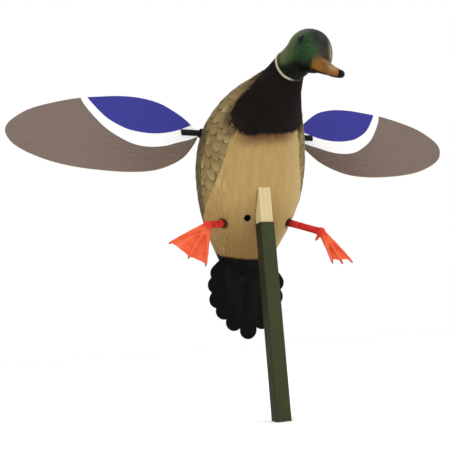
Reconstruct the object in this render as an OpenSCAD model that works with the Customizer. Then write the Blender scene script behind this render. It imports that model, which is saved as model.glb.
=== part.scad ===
// Motion wing decoy: a drake mallard in landing posture on a square stake.
// The wings spin about a cross shaft that a battery motor turns inside the hollow body.
// Origin: centre of the stake's lower end. +Z runs up the stake, the bird faces -Y.

/* [Stake] */
// Outside width of the square tube
tube_w = 25.4; // [20:0.1:30]
// Wall thickness of the square tube
tube_wall = 1.65; // [1.2:0.05:2]
// Rounding of the tube's long edges
tube_round = 2.2; // [1.8:0.1:3]
// Length of the tube above its lower end
tube_len = 324.5; // [250:0.5:340]
// Width of the bare wooden peg
peg_w = 22; // [16:0.1:22]
// Height of the top of the peg
peg_top = 444; // [430:1:444]
// How far the peg goes down into the tube
peg_plug = 60; // [40:5:100]

/* [Wings] */
// Height of the wing axis
axle_z = 494; // [492:1:496]
// Distance of the wing axis behind the stake
axle_y = 38.6; // [37:0.1:40]
// Wing angle at rest, top edge leaning back
wing_lean = 17.2; // [0:0.1:25]
// Thickness of a wing panel
wing_t = 3; // [2:0.5:4]
// Radius of the shaft
shaft_r = 4; // [3:0.5:4]
// Radius of a wing hub
hub_r = 6.5; // [6:0.1:7]
// Distance from the middle to a hub's outer end
hub_end = 127.3; // [124:0.1:130]

/* [Body] */
// Pitch of the body above level
body_pitch = 55; // [50:1:58]
// Wall thickness of the shell
shell_t = 3; // [2.5:0.5:3.5]

/* [Head] */
// Turn of the head to the bird's left
head_turn = 9.3; // [0:0.1:12]
// Nod of the head below level
head_nod = 31.5; // [20:0.5:34]

/* [Hatch] */
// Half the width of the back hatch
hatch_hw = 36; // [30:1:38]
// Gap around the hatch
hatch_gap = 0.5; // [0.4:0.1:0.8]

/* [Hidden] */

fit = 0.05;

// ---- shared shapes -------------------------------------------------------

// The body's own frame: x across, y toward its back, z toward its head.
module in_body() translate([0, axle_y, axle_z]) rotate([90 - body_pitch, 0, 0]) children();

// The wing panel's frame: x outward along the shaft, y up the panel, z out of its face.
module in_wing() translate([0, axle_y, axle_z]) rotate([90 - wing_lean, 0, 0]) children();

// The shaft's frame: z along the shaft toward the bird's left.
module on_shaft(x = 0) translate([x, axle_y, axle_z]) rotate([0, 90, 0]) children();

module mirrored_if(flip) {
    if (flip) mirror([1, 0, 0]) children();
    else children();
}

// One value of a Catmull-Rom curve between rows b and c.
function spline(a, b, c, d, t) =
    0.5 * (2 * b + (c - a) * t + (2 * a - 5 * b + 4 * c - d) * t * t
        + (3 * b - a - 3 * c + d) * t * t * t);

// A table of rows refined to `steps` rows for each gap.
function refine(rows, steps) = let (last = len(rows) - 1) [
    for (i = [0 : last - 1], k = [0 : steps - 1])
        spline(rows[max(i - 1, 0)], rows[i], rows[i + 1], rows[min(i + 2, last)], k / steps),
    rows[last]
];

// Rounded outline: a superellipse with its own rise and drop.
function bulge(value, power) = sign(value) * pow(abs(value), 2 / power);
function ring_point(angle, half_w, rise, drop, power) = [
    half_w * bulge(cos(angle), power),
    (sin(angle) > 0 ? rise : drop) * bulge(sin(angle), power)
];

// A closed skin through rings of equal length.
module loft(rings) {
    n = len(rings[0]);
    top = len(rings) - 1;
    points = concat([for (ring = rings, point = ring) point],
        [mean(rings[0]), mean(rings[top])]);
    low = n * (top + 1);
    sides = [for (i = [0 : top - 1], j = [0 : n - 1]) let (k = (j + 1) % n)
        each [[i * n + j, (i + 1) * n + j, i * n + k], [i * n + k, (i + 1) * n + j, (i + 1) * n + k]]];
    ends = [for (j = [0 : n - 1]) let (k = (j + 1) % n)
        each [[low, j, k], [low + 1, top * n + k, top * n + j]]];
    polyhedron(points, concat(sides, ends));
}

function mean(points) = [for (axis = [0 : 2]) sum([for (p = points) p[axis]]) / len(points)];
function sum(values, i = 0) = i == len(values) ? 0 : values[i] + sum(values, i + 1);

// ---- body sections -------------------------------------------------------

// Rump to neck: along the body, toward the back, sideways, bend down, turn left,
// half width, rise of the back, drop of the belly.
body_rows = [
    [ -262, -92,    0, -22, 0,  16,   10,   11],
    [ -235, -76,    0, -20, 0,  38,   22,   27],
    [ -195, -60,    0, -14, 0,  60,   36,   46],
    [ -145, -50,    0, -6,  0,  82,   54,   59],
    [  -95, -41,    0, -2,  0,  95,   68,   67],
    [  -45, -30,    0,  0,  0,  99,   72,   71],
    [    0, -27,    0,  6,  0,  93.5, 72,   68],
    [   38, -39,    0, 16,  2,  81.5, 58.5, 58],
    [   70, -54.5,  3, 28,  6,  65.5, 44.5, 48],
    [   96, -72,    7, 34,  9,  49.5, 34,   38],
    [  116, -83.5, 11, 38,  11, 36.5, 28.5, 32],
    [141.6, -88,   18, 44,  8,  26,   26,   26]
];
body_power = 2.25;
body_sides = 40;
body_steps = 2;

// A section's ring in the body's frame, pulled in by `inset`.
function body_ring(row, inset) = let (
    bend = row[3],
    turn = row[4],
    along = [0, -sin(bend), cos(bend)],
    up = [0, cos(bend), sin(bend)],
    side = [cos(turn), -sin(turn) * along[1], -sin(turn) * along[2]]
) [
    for (j = [0 : body_sides - 1]) let (
        p = ring_point(360 * j / body_sides, row[5] - inset, row[6] - inset, row[7] - inset,
            body_power)
    ) [row[2], row[1], row[0]] + p[0] * side + p[1] * up
];

body_table = refine(body_rows, body_steps);
function body_rings(inset) = [for (row = body_table) body_ring(row, inset)];

// The cavity stops short of both ends.
cavity_table = [for (i = [1 : len(body_table) - 2]) body_table[i]];
function cavity_rings(inset) = [for (row = cavity_table) body_ring(row, inset)];

module body_solid() loft(body_rings(0));
module body_cavity() loft(cavity_rings(shell_t));

// ---- places on the body ----------------------------------------------------

hatch_low = -165;
hatch_high = -55;
hinge_u = hatch_low - 3.5;
hinge_v = -2.5;
hinge_r = 3.2;
hinge_pin_r = 1.5;
knuckle_end = 15;
knuckle_mid = 5.6;

jack_at = [-24, -104.5, -116];
jack_r = 6;

switch_at = [0, 46, 2];

tail_root = [0, -95, -230];
tail_bend = 22.4;
tail_screw_at = [-15, 10, 0];
tongue_hw = 20;
boss_r = 12;
boss_top = 5;

socket_wall = 2.5;
socket_gap = 0.35;
peg_gap = 0.6;
socket_out = peg_w / 2 + socket_gap + socket_wall;
socket_top = peg_top + 0.3 + 4;
socket_low = 405;
socket_flange = 22;

frame_z = socket_top;
frame_hx = 60;
frame_t = 3;
frame_y0 = 20;
frame_y1 = 57;
frame_front = -21;
frame_back = 68;
frame_rise = 57;
saddle_hw = 29;

// ---- stake -----------------------------------------------------------------

module square_bar(width, low, high) {
    translate([-width / 2, -width / 2, low]) cube([width, width, high - low]);
}

// A square bar whose long edges are rounded.
module rounded_bar(width, low, high, r) {
    half = width / 2 - r;
    for (sx = [-1, 1], sy = [-1, 1])
        translate([sx * half, sy * half, low]) cylinder(r = r, h = high - low, $fn = 32);
    translate([-width / 2, -half, low]) cube([width, 2 * half, high - low]);
    translate([-half, -width / 2, low]) cube([2 * half, width, high - low]);
}

module stake_tube() color([0.23, 0.26, 0.18]) difference() {
    rounded_bar(tube_w, 0, tube_len, tube_round);
    square_bar(tube_w - 2 * tube_wall, -1, tube_len + 1);
    peg_screw_holes();
}

peg_screw_z = [tube_len - 18, tube_len - 42];

module peg_screw_holes() {
    for (z = peg_screw_z) translate([0, tube_w / 2 - 12, z])
        rotate([-90, 0, 0]) cylinder(r = 1.8, h = 14, $fn = 24);
}

module stake_peg() color([0.82, 0.74, 0.54]) difference() {
    square_bar(peg_w, tube_len - peg_plug, peg_top);
    peg_screw_holes();
}

module peg_screws() color([0.6, 0.6, 0.6]) {
    for (z = peg_screw_z) translate([0, tube_w / 2, z]) rotate([-90, 0, 0]) {
        translate([0, 0, -12]) cylinder(r = 1.8, h = 12, $fn = 24);
        cylinder(r = 3.6, h = 2, $fn = 24);
    }
}

// ---- body shell ----------------------------------------------------------

module hatch_zone(grow) {
    translate([-hatch_hw - grow, -20, hatch_low - grow])
        cube([2 * (hatch_hw + grow), 90, hatch_high - hatch_low + 2 * grow]);
}

leg_root = [66, 34, 331];
leg_peg_r = 4;
leg_root_r = 6;
leg_r = 4.5;
ankle_r = 6;
bushing_r = 6.5;
// Where the leg meets its bushing, measured along the leg from its root.
leg_seat = -8;

// From the leg's root to its ankle: the left leg hangs a little lower.
function leg_dir(sd) = [sd * 38, -38, sd > 0 ? -23 : -10];
function root_at(sd) = [sd * leg_root[0], leg_root[1], leg_root[2]];

module leg_axis(sd) {
    dir = leg_dir(sd);
    translate(root_at(sd)) rotate([0, acos(dir[2] / norm(dir)), atan2(dir[1], dir[0])]) children();
}

module body_shell() color([0.67, 0.56, 0.35]) {
    difference() {
        in_body() body_solid();
        in_body() body_cavity();
        in_body() hatch_zone(0);
        in_body() translate([-knuckle_mid - 0.4, hinge_v - 6, hinge_u - hinge_r - 0.5])
            cube([2 * knuckle_mid + 0.8, 12, 10]);
        square_bar(peg_w + 2 * peg_gap, tube_len + 0.5, 446);
        on_shaft(-120) cylinder(r = 9, h = 240, $fn = 48);
        for (sd = [-1, 1]) leg_axis(sd)
            translate([0, 0, -25]) cylinder(r = bushing_r, h = 50, $fn = 32);
        in_body() translate(jack_at) rotate([90, 0, 0])
            cylinder(r = jack_r, h = 40, center = true, $fn = 32);
        in_body() translate(switch_at) rotate([90, 0, 0])
            cylinder(r = 3.1, h = 30, center = true, $fn = 32);
        in_tail() tail_tongue(0.3);
        tail_screw_hole();
    }
    tail_pillar();
    hatch_hinge_body();
}

// A hinge barrel, with the leaf that children() draws, bored for the pin.
module knuckle(x0, x1) difference() {
    union() {
        translate([x0, hinge_v, hinge_u]) rotate([0, 90, 0]) cylinder(r = hinge_r, h = x1 - x0, $fn = 32);
        children();
    }
    translate([x0 - 1, hinge_v, hinge_u]) rotate([0, 90, 0])
        cylinder(r = hinge_pin_r + fit, h = x1 - x0 + 2, $fn = 32);
}

module hatch_hinge_body() in_body() for (sd = [-1, 1]) mirrored_if(sd < 0)
    knuckle(knuckle_mid + 0.4, knuckle_end)
        translate([knuckle_mid + 0.4, hinge_v - 5, hinge_u - 6])
            cube([knuckle_end - knuckle_mid - 0.4, 5, 6]);

module back_hatch() color([0.5, 0.44, 0.28]) in_body() {
    difference() {
        intersection() {
            difference() {
                body_solid();
                body_cavity();
            }
            hatch_zone(-hatch_gap);
        }
        translate([-knuckle_end - 0.5, hinge_v, hinge_u]) rotate([0, 90, 0])
            cylinder(r = hinge_r + 0.4, h = 2 * knuckle_end + 1, $fn = 32);
    }
    knuckle(-knuckle_mid, knuckle_mid)
        translate([-knuckle_mid, hinge_v - 2.5, hinge_u]) cube([2 * knuckle_mid, 4.4, 10]);
    translate([-8, 34, hatch_high - 9]) cube([16, 9, 4]);
}

module hatch_hinge_pin() color([0.7, 0.7, 0.7]) in_body()
    translate([-knuckle_end, hinge_v, hinge_u]) rotate([0, 90, 0])
        cylinder(r = hinge_pin_r, h = 2 * knuckle_end, $fn = 32);

// ---- head ------------------------------------------------------------------

head_at = [31.7, -156, 561.4];

// The head's frame: x to its left, y up, z out along the bill.
module in_head() translate(head_at) rotate([0, 0, head_turn]) rotate([90 + head_nod, 0, 0])
    children();

// Back of the skull to the face: along, top, bottom, half width.
head_rows = [
    [ -45,  4,    -2,    3],
    [ -42, 15.5, -12,   12.5],
    [ -34, 28,   -20.5, 21.5],
    [ -19, 36,   -25,   27],
    [  -2, 38,   -27.5, 30],
    [  13, 35,   -27.5, 29],
    [  26, 26,   -25,   24.5],
    [35.5, 12.5, -22,   18.5],
    [  41,  2,   -19.5, 12.5]
];
bill_rows = [
    [  30,   9,   -24.5, 14],
    [45.5,  -3,   -24.5, 14],
    [57.5,  -7.5, -24.5, 13],
    [  67, -10,   -24.5, 13],
    [  77, -12,   -25,   13.5],
    [  85, -13.5, -24,   11.5],
    [88.5, -15.5, -23.5,  5]
];
head_sides = 32;

function head_ring(row, power) = [
    for (j = [0 : head_sides - 1]) let (
        half_h = (row[1] - row[2]) / 2,
        p = ring_point(360 * j / head_sides, row[3], half_h, half_h, power)
    ) [p[0], (row[1] + row[2]) / 2 + p[1], row[0]]
];

module head() color([0.18, 0.33, 0.18]) {
    in_head() loft([for (row = refine(head_rows, 2)) head_ring(row, 2.1)]);
    in_body() loft([for (row = neck_plug_rows) body_ring(row, 0)]);
}

// The neck's own continuation into the skull.
neck_plug_rows = [
    [141.9, -88.3, 18.05, 44, 8, 25.8, 25.8, 25.8],
    [154.6, -100.1, 23.8, 44, 8, 26, 26, 26],
    [170, -112.2, 29.7, 44.5, 8, 26.8, 26.8, 26.8]
];

module bill() color([0.72, 0.5, 0.2])
    difference() {
        in_head() loft([for (row = refine(bill_rows, 2)) head_ring(row, 2.6)]);
        head();
    }

eye_at = [25, 18.8, 7.2];
eye_r = 5;

module eyes() color([0.05, 0.04, 0.03]) difference() {
    in_head() for (sd = [-1, 1]) translate([sd * eye_at[0], eye_at[1], eye_at[2]])
        sphere(r = eye_r, $fn = 24);
    head();
}

module neck_ring() color([0.75, 0.73, 0.66]) difference() {
    in_body() loft([for (row = ring_rows) body_ring(row, 0)]);
    in_body() loft([for (row = [body_table[len(body_table) - 2], body_rows[11]]) body_ring(row, 0)]);
    head();
}
ring_rows = [
    [139.8, -86.3, 17.75, 44, 8, 28.6, 28.6, 28.6],
    [143.4, -89.7, 18.25, 44, 8, 28, 28, 28]
];

// ---- tail ------------------------------------------------------------------

tail_t = 3;
feather_r = 15.5;
// Feather tips from the middle outward: sideways, along the fan.
tail_tips = [[0, 104], [27, 86], [47, 62], [58, 41], [61, 17], [57, -5]];

module in_tail() in_body() translate(tail_root) rotate([180 - tail_bend, 0, 0]) mirror([0, 1, 0])
    rotate([90, 0, 0]) children();

module feather(tip, level) {
    length = norm(tip - [0, -60]);
    direction = atan2(tip[0], tip[1] + 60);
    translate([0, 0, level]) linear_extrude(tail_t) {
        translate(tip) circle(r = feather_r, $fn = 40);
        translate([0, -60]) rotate([0, 0, -direction])
            translate([-feather_r * 0.8, length * 0.45]) square([feather_r * 1.6, length * 0.55]);
    }
}

module tail_fan() color([0.07, 0.06, 0.055]) difference() {
    union() {
        difference() {
            in_tail() union() {
                for (sd = [-1, 1], i = [0 : len(tail_tips) - 1])
                    feather([sd * tail_tips[i][0], tail_tips[i][1]], -0.9 * i);
                translate([0, 0, -3]) linear_extrude(5) fan_core();
                translate(tail_screw_at) cylinder(r = boss_r, h = boss_top, $fn = 48);
            }
            in_body() body_solid();
        }
        in_tail() tail_tongue(0);
    }
    tail_screw_hole();
}

// The fan's root, which slides into the rump and takes the screw.
module tail_tongue(gap) translate([-tongue_hw - gap, -12 - gap, -3 - gap])
    cube([2 * (tongue_hw + gap), 60, 5 + 2 * gap]);

module tail_screw_hole() in_tail() translate(tail_screw_at) translate([0, 0, -20])
    cylinder(r = 2, h = 40, $fn = 24);

// The fan's solid middle, which the feathers spread from.
module fan_core() {
    circle(r = 48, $fn = 60);
    translate([0, 30]) circle(r = 42, $fn = 60);
    translate([0, 60]) circle(r = 26, $fn = 60);
}

// The pillar inside the rump that the tail screw bites into.
module tail_pillar() difference() {
    intersection() {
        in_body() body_solid();
        in_tail() translate(tail_screw_at) translate([0, 0, -40]) cylinder(r = 6, h = 36.7, $fn = 32);
    }
    tail_screw_hole();
}

module tail_screw() color([0.1, 0.1, 0.1]) in_tail() translate(tail_screw_at) {
    translate([0, 0, boss_top]) cylinder(r = 4.2, h = 2.4, $fn = 32);
    translate([0, 0, -14]) cylinder(r = 2, h = 14 + boss_top, $fn = 24);
}

// ---- legs ------------------------------------------------------------------

module leg_bushing(sd) color([0.12, 0.11, 0.1]) leg_axis(sd) translate([0, 0, leg_seat - 12])
    difference() {
        cylinder(r = bushing_r, h = 11.6, $fn = 32);
        translate([0, 0, -1]) cylinder(r = leg_peg_r + fit, h = 24, $fn = 32);
    }

module leg(sd) color([0.75, 0.18, 0.14]) leg_axis(sd) {
    reach = norm(leg_dir(sd));
    translate([0, 0, leg_seat - 12]) cylinder(r = leg_peg_r, h = 13, $fn = 32);
    translate([0, 0, leg_seat]) cylinder(r1 = leg_root_r, r2 = leg_r, h = reach - leg_seat, $fn = 32);
    translate([0, 0, reach]) sphere(r = ankle_r, $fn = 32);
}

// Toe tips measured from the ankle, inner toe first, and the hind spur.
toes_right = [[-13, -16, -70], [-44, -24, -58], [-71, -14, -32]];
toes_left = [[7, -17, -59], [25, -20, -61], [50, -11, -58]];
spur_right = [6, 12, -16];
spur_left = [-7, 10, -14];

module toe(tip, r0, r1) hull() {
    sphere(r = r0, $fn = 16);
    translate(tip) sphere(r = r1, $fn = 16);
}

module foot(sd, toes, spur) color([0.93, 0.38, 0.16])
    translate(root_at(sd) + leg_dir(sd)) difference() {
        union() {
            for (tip = toes) toe(tip, 4.5, 1.8);
            toe(spur, 3.5, 1.5);
            for (i = [0, 1]) hull() {
                sphere(r = 3, $fn = 16);
                translate(0.9 * toes[i]) sphere(r = 1.2, $fn = 16);
                translate(0.9 * toes[i + 1]) sphere(r = 1.2, $fn = 16);
            }
        }
        sphere(r = ankle_r + 0.15, $fn = 32);
    }

// ---- drive -----------------------------------------------------------------

module peg_socket() color([0.15, 0.15, 0.15]) difference() {
    union() {
        square_bar(2 * socket_out, socket_low, socket_top);
        translate([-socket_flange, -socket_flange, socket_top - 4])
            cube([2 * socket_flange, 2 * socket_flange, 4]);
    }
    square_bar(peg_w + 2 * socket_gap, 300, peg_top + 0.3);
    socket_screw_holes();
}

socket_screw_xy = [for (sx = [-1, 1], sy = [-1, 1]) [sx * 17.5, sy * 17.5]];

module socket_screw_holes() for (p = socket_screw_xy)
    translate([p[0], p[1], socket_top - 5]) cylinder(r = 1.6, h = 10, $fn = 24);

module socket_screws() color([0.6, 0.6, 0.6]) for (p = socket_screw_xy)
    translate([p[0], p[1], socket_top - 4]) {
        cylinder(r = 1.6, h = 4 + frame_t, $fn = 24);
        translate([0, 0, 4 + frame_t]) cylinder(r = 3, h = 2, $fn = 24);
    }

module motor_frame() color([0.5, 0.5, 0.52]) difference() {
    union() {
        translate([-frame_hx, frame_front, frame_z])
            cube([2 * frame_hx, frame_back - frame_front, frame_t]);
        for (sd = [-1, 1]) mirrored_if(sd < 0)
            translate([frame_hx - frame_t, frame_y0, frame_z])
                cube([frame_t, frame_y1 - frame_y0, frame_rise]);
        translate([-14, axle_y - saddle_hw, frame_z + frame_t])
            cube([28, 2 * saddle_hw, axle_z - 6 - frame_z - frame_t]);
    }
    on_shaft(-20) cylinder(r = motor_r, h = 40, $fn = 64);
    on_shaft(-80) cylinder(r = 6, h = 160, $fn = 48);
    for (p = socket_screw_xy) translate([p[0], p[1], frame_z - 1]) cylinder(r = 1.6, h = 5, $fn = 24);
}

motor_r = 18;
motor_hl = 29;

module frame_screws() color([0.6, 0.6, 0.6]) for (sd = [-1, 1])
    translate([sd * 48, frame_back - 8, frame_z + frame_t]) cylinder(r = 3, h = 2, $fn = 24);

module shaft_bushing(sd) color([0.72, 0.52, 0.25]) mirrored_if(sd < 0) difference() {
    on_shaft(frame_hx - frame_t - 2) {
        cylinder(r = 9, h = 2, $fn = 48);
        cylinder(r = 6, h = 9, $fn = 48);
    }
    on_shaft(50) cylinder(r = shaft_r + fit, h = 30, $fn = 48);
}

module motor_can() color([0.62, 0.63, 0.65]) difference() {
    on_shaft(-motor_hl) cylinder(r = motor_r, h = 2 * motor_hl, $fn = 64);
    on_shaft(-motor_hl - 1) cylinder(r = motor_r - 1.8, h = 2 * motor_hl + 2, $fn = 64);
}

module motor_end(sd) color([0.2, 0.2, 0.2]) mirrored_if(sd < 0) difference() {
    on_shaft(motor_hl) {
        cylinder(r = motor_r, h = 4, $fn = 64);
        cylinder(r = 7.5, h = 8, $fn = 48);
    }
    on_shaft(motor_hl - 5) cylinder(r = shaft_r + fit, h = 20, $fn = 48);
}

module motor_clamp() color([0.45, 0.46, 0.48]) difference() {
    union() {
        on_shaft(-8) cylinder(r = motor_r + 2, h = 16, $fn = 64);
        translate([-8, axle_y - saddle_hw, axle_z - 6]) cube([16, 2 * saddle_hw, 3]);
    }
    on_shaft(-9) cylinder(r = motor_r, h = 18, $fn = 64);
    translate([-9, axle_y - 30, axle_z - 40]) cube([18, 60, 34]);
}

module clamp_screws() color([0.6, 0.6, 0.6]) for (sd = [-1, 1])
    translate([0, axle_y + sd * 24.5, axle_z - 3]) cylinder(r = 3, h = 2, $fn = 24);

module motor_rotor() color([0.55, 0.33, 0.16]) difference() {
    on_shaft(-19) cylinder(r = 13, h = 38, $fn = 48);
    on_shaft(-20) cylinder(r = shaft_r, h = 40, $fn = 48);
}

shaft_end = 93.5;

module wing_shaft() color([0.7, 0.71, 0.73])
    on_shaft(-shaft_end) cylinder(r = shaft_r, h = 2 * shaft_end, $fn = 48);

module shaft_collars() color([0.35, 0.35, 0.36]) for (sd = [-1, 1]) mirrored_if(sd < 0)
    difference() {
        on_shaft(frame_hx + 4.5) cylinder(r = 8, h = 8, $fn = 48);
        on_shaft(frame_hx) cylinder(r = shaft_r, h = 20, $fn = 48);
    }

module grommet(sd) color([0.08, 0.08, 0.08]) mirrored_if(sd < 0) difference() {
    on_shaft(82) cylinder(r = 9, h = 10, $fn = 48);
    on_shaft(80) cylinder(r = hub_r + 0.5, h = 20, $fn = 48);
}

// ---- wings -----------------------------------------------------------------

// The panel's edge from its root round the top, tip and bottom: outward, up.
wing_rows = [
    [97, 2], [113, 27], [133, 46], [160, 64], [194, 73], [228, 74], [262, 70], [298, 64],
    [338, 52], [376, 36], [400, 18], [414, 0], [415, -17], [404, -36], [380, -53], [345, -68],
    [308, -77], [268, -82], [228, -84], [190, -81], [160, -71], [132, -54], [112, -31], [99, -10]
];

wing_outline = let (n = len(wing_rows)) [
    for (i = [0 : n - 1], k = [0 : 2])
        spline(wing_rows[(i + n - 1) % n], wing_rows[i], wing_rows[(i + 1) % n],
            wing_rows[(i + 2) % n], k / 3)
];

wing_bolts = [103, 119];
bolt_r = 2;

module bolt_holes() for (s = wing_bolts)
    translate([s, 0, -20]) cylinder(r = bolt_r, h = 40, $fn = 32);

module wing(sd) color([0.5, 0.44, 0.4]) mirrored_if(sd < 0) in_wing() difference() {
    translate([0, 0, -wing_t / 2]) linear_extrude(wing_t) polygon(wing_outline);
    bolt_holes();
}

module hub(sd) color([0.05, 0.05, 0.05]) mirrored_if(sd < 0) difference() {
    on_shaft(82.5) cylinder(r = hub_r, h = hub_end - 82.5, $fn = 48);
    on_shaft(80) cylinder(r = shaft_r, h = shaft_end - 80 + 0.01, $fn = 48);
    in_wing() translate([95.5, -10, -10]) cube([50, 20, 10 + wing_t / 2]);
    in_wing() for (s = wing_bolts) translate([s, 0, -20]) cylinder(r = bolt_r, h = 24.5, $fn = 32);
}

module wing_screws(sd) color([0.6, 0.6, 0.6]) mirrored_if(sd < 0) in_wing()
    for (s = wing_bolts) translate([s, 0, -wing_t / 2]) {
        cylinder(r = bolt_r, h = wing_t / 2 + 4.4, $fn = 32);
        translate([0, 0, -2.4]) cylinder(r = 3.8, h = 2.4, $fn = 32);
    }

// ---- power -----------------------------------------------------------------

battery_size = [70, 45, 98];
battery_low = [-35, -64, -170];

module battery() color([0.2, 0.2, 0.22]) in_body() translate(battery_low) cube(battery_size);

module battery_terminals() color([0.75, 0.6, 0.3]) in_body() for (sd = [-1, 1])
    translate([sd * 22 - 2.4, battery_low[1] + 20, battery_low[2] + battery_size[2]])
        cube([4.8, 0.8, 6.5]);

module battery_tray() color([0.3, 0.3, 0.3]) in_body() difference() {
    translate(battery_low - [2.5, 3.5, 2.5]) cube([75, 12, 103]);
    translate(battery_low - [0, 0.5, 0]) cube([70, 20, 98.5]);
}

module battery_strap() color([0.1, 0.1, 0.1]) in_body() difference() {
    translate([-37, battery_low[1] + 9, -130]) cube([74, 38, 20]);
    translate([-35, battery_low[1], -131]) cube([70, 45, 22]);
}

module switch_body() color([0.1, 0.1, 0.25]) in_body() translate(switch_at) difference() {
    union() {
        translate([-6.5, -22, -6.5]) cube([13, 14, 13]);
        rotate([90, 0, 0]) translate([0, 0, -6]) cylinder(r = 3, h = 15, $fn = 32);
    }
    rocker(rocker_r + 0.3, 4);
}

// The round root of the lever, across the body, that it rocks about.
rocker_r = 1.9;
module rocker(r, length) translate([-length / 2, 6, 0]) rotate([0, 90, 0])
    cylinder(r = r, h = length, $fn = 32);

module switch_nut() color([0.7, 0.7, 0.7]) in_body() translate(switch_at)
    rotate([90, 0, 0]) translate([0, 0, -1.6]) difference() {
        cylinder(r = 5.5, h = 2.4, $fn = 6);
        translate([0, 0, -1]) cylinder(r = 3, h = 5, $fn = 32);
    }

module switch_toggle() color([0.75, 0.75, 0.75]) in_body() translate(switch_at) {
    rocker(rocker_r, 3.4);
    translate([0, 6, 0]) rotate([-102, 0, 0]) cylinder(r = 1.4, h = 10, $fn = 24);
}

module charge_jack() color([0.04, 0.04, 0.04]) in_body() translate(jack_at) rotate([90, 0, 0])
    difference() {
        translate([0, 0, -12]) cylinder(r = jack_r, h = 16, $fn = 32);
        translate([0, 0, -9]) cylinder(r = 4.8, h = 20, $fn = 32);
    }

// ---- nodes -----------------------------------------------------------------

stake_tube();
stake_peg();
peg_screws();
body_shell();
peg_socket();
socket_screws();
back_hatch();
hatch_hinge_pin();
head();
bill();
eyes();
neck_ring();
tail_fan();
tail_screw();
leg_bushing(1);  // leg_bushing_left
leg_bushing(-1);  // leg_bushing_right
leg(1);  // leg_left
leg(-1);  // leg_right
foot(1, toes_left, spur_left);  // foot_left
foot(-1, toes_right, spur_right);  // foot_right
motor_frame();
frame_screws();
shaft_bushing(1);  // shaft_bushing_left
shaft_bushing(-1);  // shaft_bushing_right
motor_can();
motor_end(1);  // motor_end_left
motor_end(-1);  // motor_end_right
motor_clamp();
clamp_screws();
motor_rotor();
wing_shaft();
shaft_collars();
grommet(1);  // grommet_left
grommet(-1);  // grommet_right
hub(1);  // hub_left
hub(-1);  // hub_right
wing(1);  // wing_left
wing(-1);  // wing_right
wing_screws(1);  // wing_screws_left
wing_screws(-1);  // wing_screws_right
battery();
battery_terminals();
battery_tray();
battery_strap();
switch_body();
switch_toggle();
switch_nut();
charge_jack();
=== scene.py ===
"""The looks of a motion wing decoy: a drake mallard on a square stake.

Lengths are in millimetres in the shape code, and mm() turns them into metres.
The body is lofted in its own pitched frame, whose axes are side, back and along.
"""
import math

import bmesh
import bpy
import numpy as np
from mathutils import Matrix, Vector


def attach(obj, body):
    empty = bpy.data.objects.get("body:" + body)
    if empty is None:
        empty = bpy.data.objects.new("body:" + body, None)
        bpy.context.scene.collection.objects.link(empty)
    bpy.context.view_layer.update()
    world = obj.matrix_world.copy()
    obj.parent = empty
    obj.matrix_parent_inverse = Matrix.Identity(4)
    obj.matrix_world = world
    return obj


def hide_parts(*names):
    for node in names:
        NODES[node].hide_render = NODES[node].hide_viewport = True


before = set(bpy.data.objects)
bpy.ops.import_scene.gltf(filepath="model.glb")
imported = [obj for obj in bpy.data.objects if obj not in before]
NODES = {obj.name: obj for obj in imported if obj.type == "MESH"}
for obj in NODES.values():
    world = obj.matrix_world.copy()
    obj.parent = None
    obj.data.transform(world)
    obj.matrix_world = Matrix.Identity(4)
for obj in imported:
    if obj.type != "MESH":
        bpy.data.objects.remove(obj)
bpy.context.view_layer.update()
MM = 0.001

# ---- driving dimensions --------------------------------------------------

AXLE = np.array([0.0, 38.6, 494.0])
BODY_PITCH = 55.0
WING_LEAN = 17.2
WING_T = 3.0
SHELL_T = 3.0
HEAD_AT = np.array([31.7, -156.0, 561.4])
HEAD_TURN = 9.3
HEAD_NOD = 31.5
TAIL_BEND = 22.4

PITCH = math.radians(BODY_PITCH)
SIDE = np.array([1.0, 0.0, 0.0])
BACK = np.array([0.0, math.sin(PITCH), math.cos(PITCH)])
ALONG = np.array([0.0, -math.cos(PITCH), math.sin(PITCH)])


def body_point(side, back, along):
    """A place given in the body's own frame."""
    return AXLE + side * SIDE + back * BACK + along * ALONG


# ---- camera, light and floor -----------------------------------------------

CAMERA_AT = Vector((-0.4143, -0.9392, 0.1352))
CAMERA_TURN = math.radians(20.02)
CAMERA_RISE = math.radians(10.58)
CAMERA_ROLL = math.radians(-4.22)
CAMERA_LENS = 48.85

LIGHT_AIM = (0.0, 0.0, 0.4)
# Name, place and width in metres, and watts.
LIGHTS = [
    ("key_light", (-1.2, -2.0, 2.1), 1.2, 30.0),
    ("fill_light", (1.9, -1.6, 0.9), 1.6, 10.0),
    ("top_light", (0.2, 0.6, 2.4), 1.4, 9.0),
]


def make_camera():
    data = bpy.data.cameras.new("camera")
    data.sensor_width = 36.0
    data.lens = CAMERA_LENS
    data.clip_start = 0.01
    data.clip_end = 50.0
    camera = bpy.data.objects.new("camera", data)
    bpy.context.scene.collection.objects.link(camera)
    look = Vector((math.sin(CAMERA_TURN) * math.cos(CAMERA_RISE),
                   math.cos(CAMERA_TURN) * math.cos(CAMERA_RISE),
                   math.sin(CAMERA_RISE)))
    level = Vector((math.cos(CAMERA_TURN), -math.sin(CAMERA_TURN), 0.0))
    above = level.cross(look)
    right = level * math.cos(CAMERA_ROLL) + above * math.sin(CAMERA_ROLL)
    up = above * math.cos(CAMERA_ROLL) - level * math.sin(CAMERA_ROLL)
    turn = Matrix((right, up, -look)).transposed().to_4x4()
    camera.matrix_world = Matrix.Translation(CAMERA_AT) @ turn
    bpy.context.scene.camera = camera


def make_light(name, at, size, power):
    data = bpy.data.lights.new(name, "AREA")
    data.shape = "DISK"
    data.size = size
    data.energy = power
    light = bpy.data.objects.new(name, data)
    bpy.context.scene.collection.objects.link(light)
    direction = Vector(LIGHT_AIM) - Vector(at)
    light.location = at
    light.rotation_euler = direction.to_track_quat("-Z", "Y").to_euler()


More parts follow.
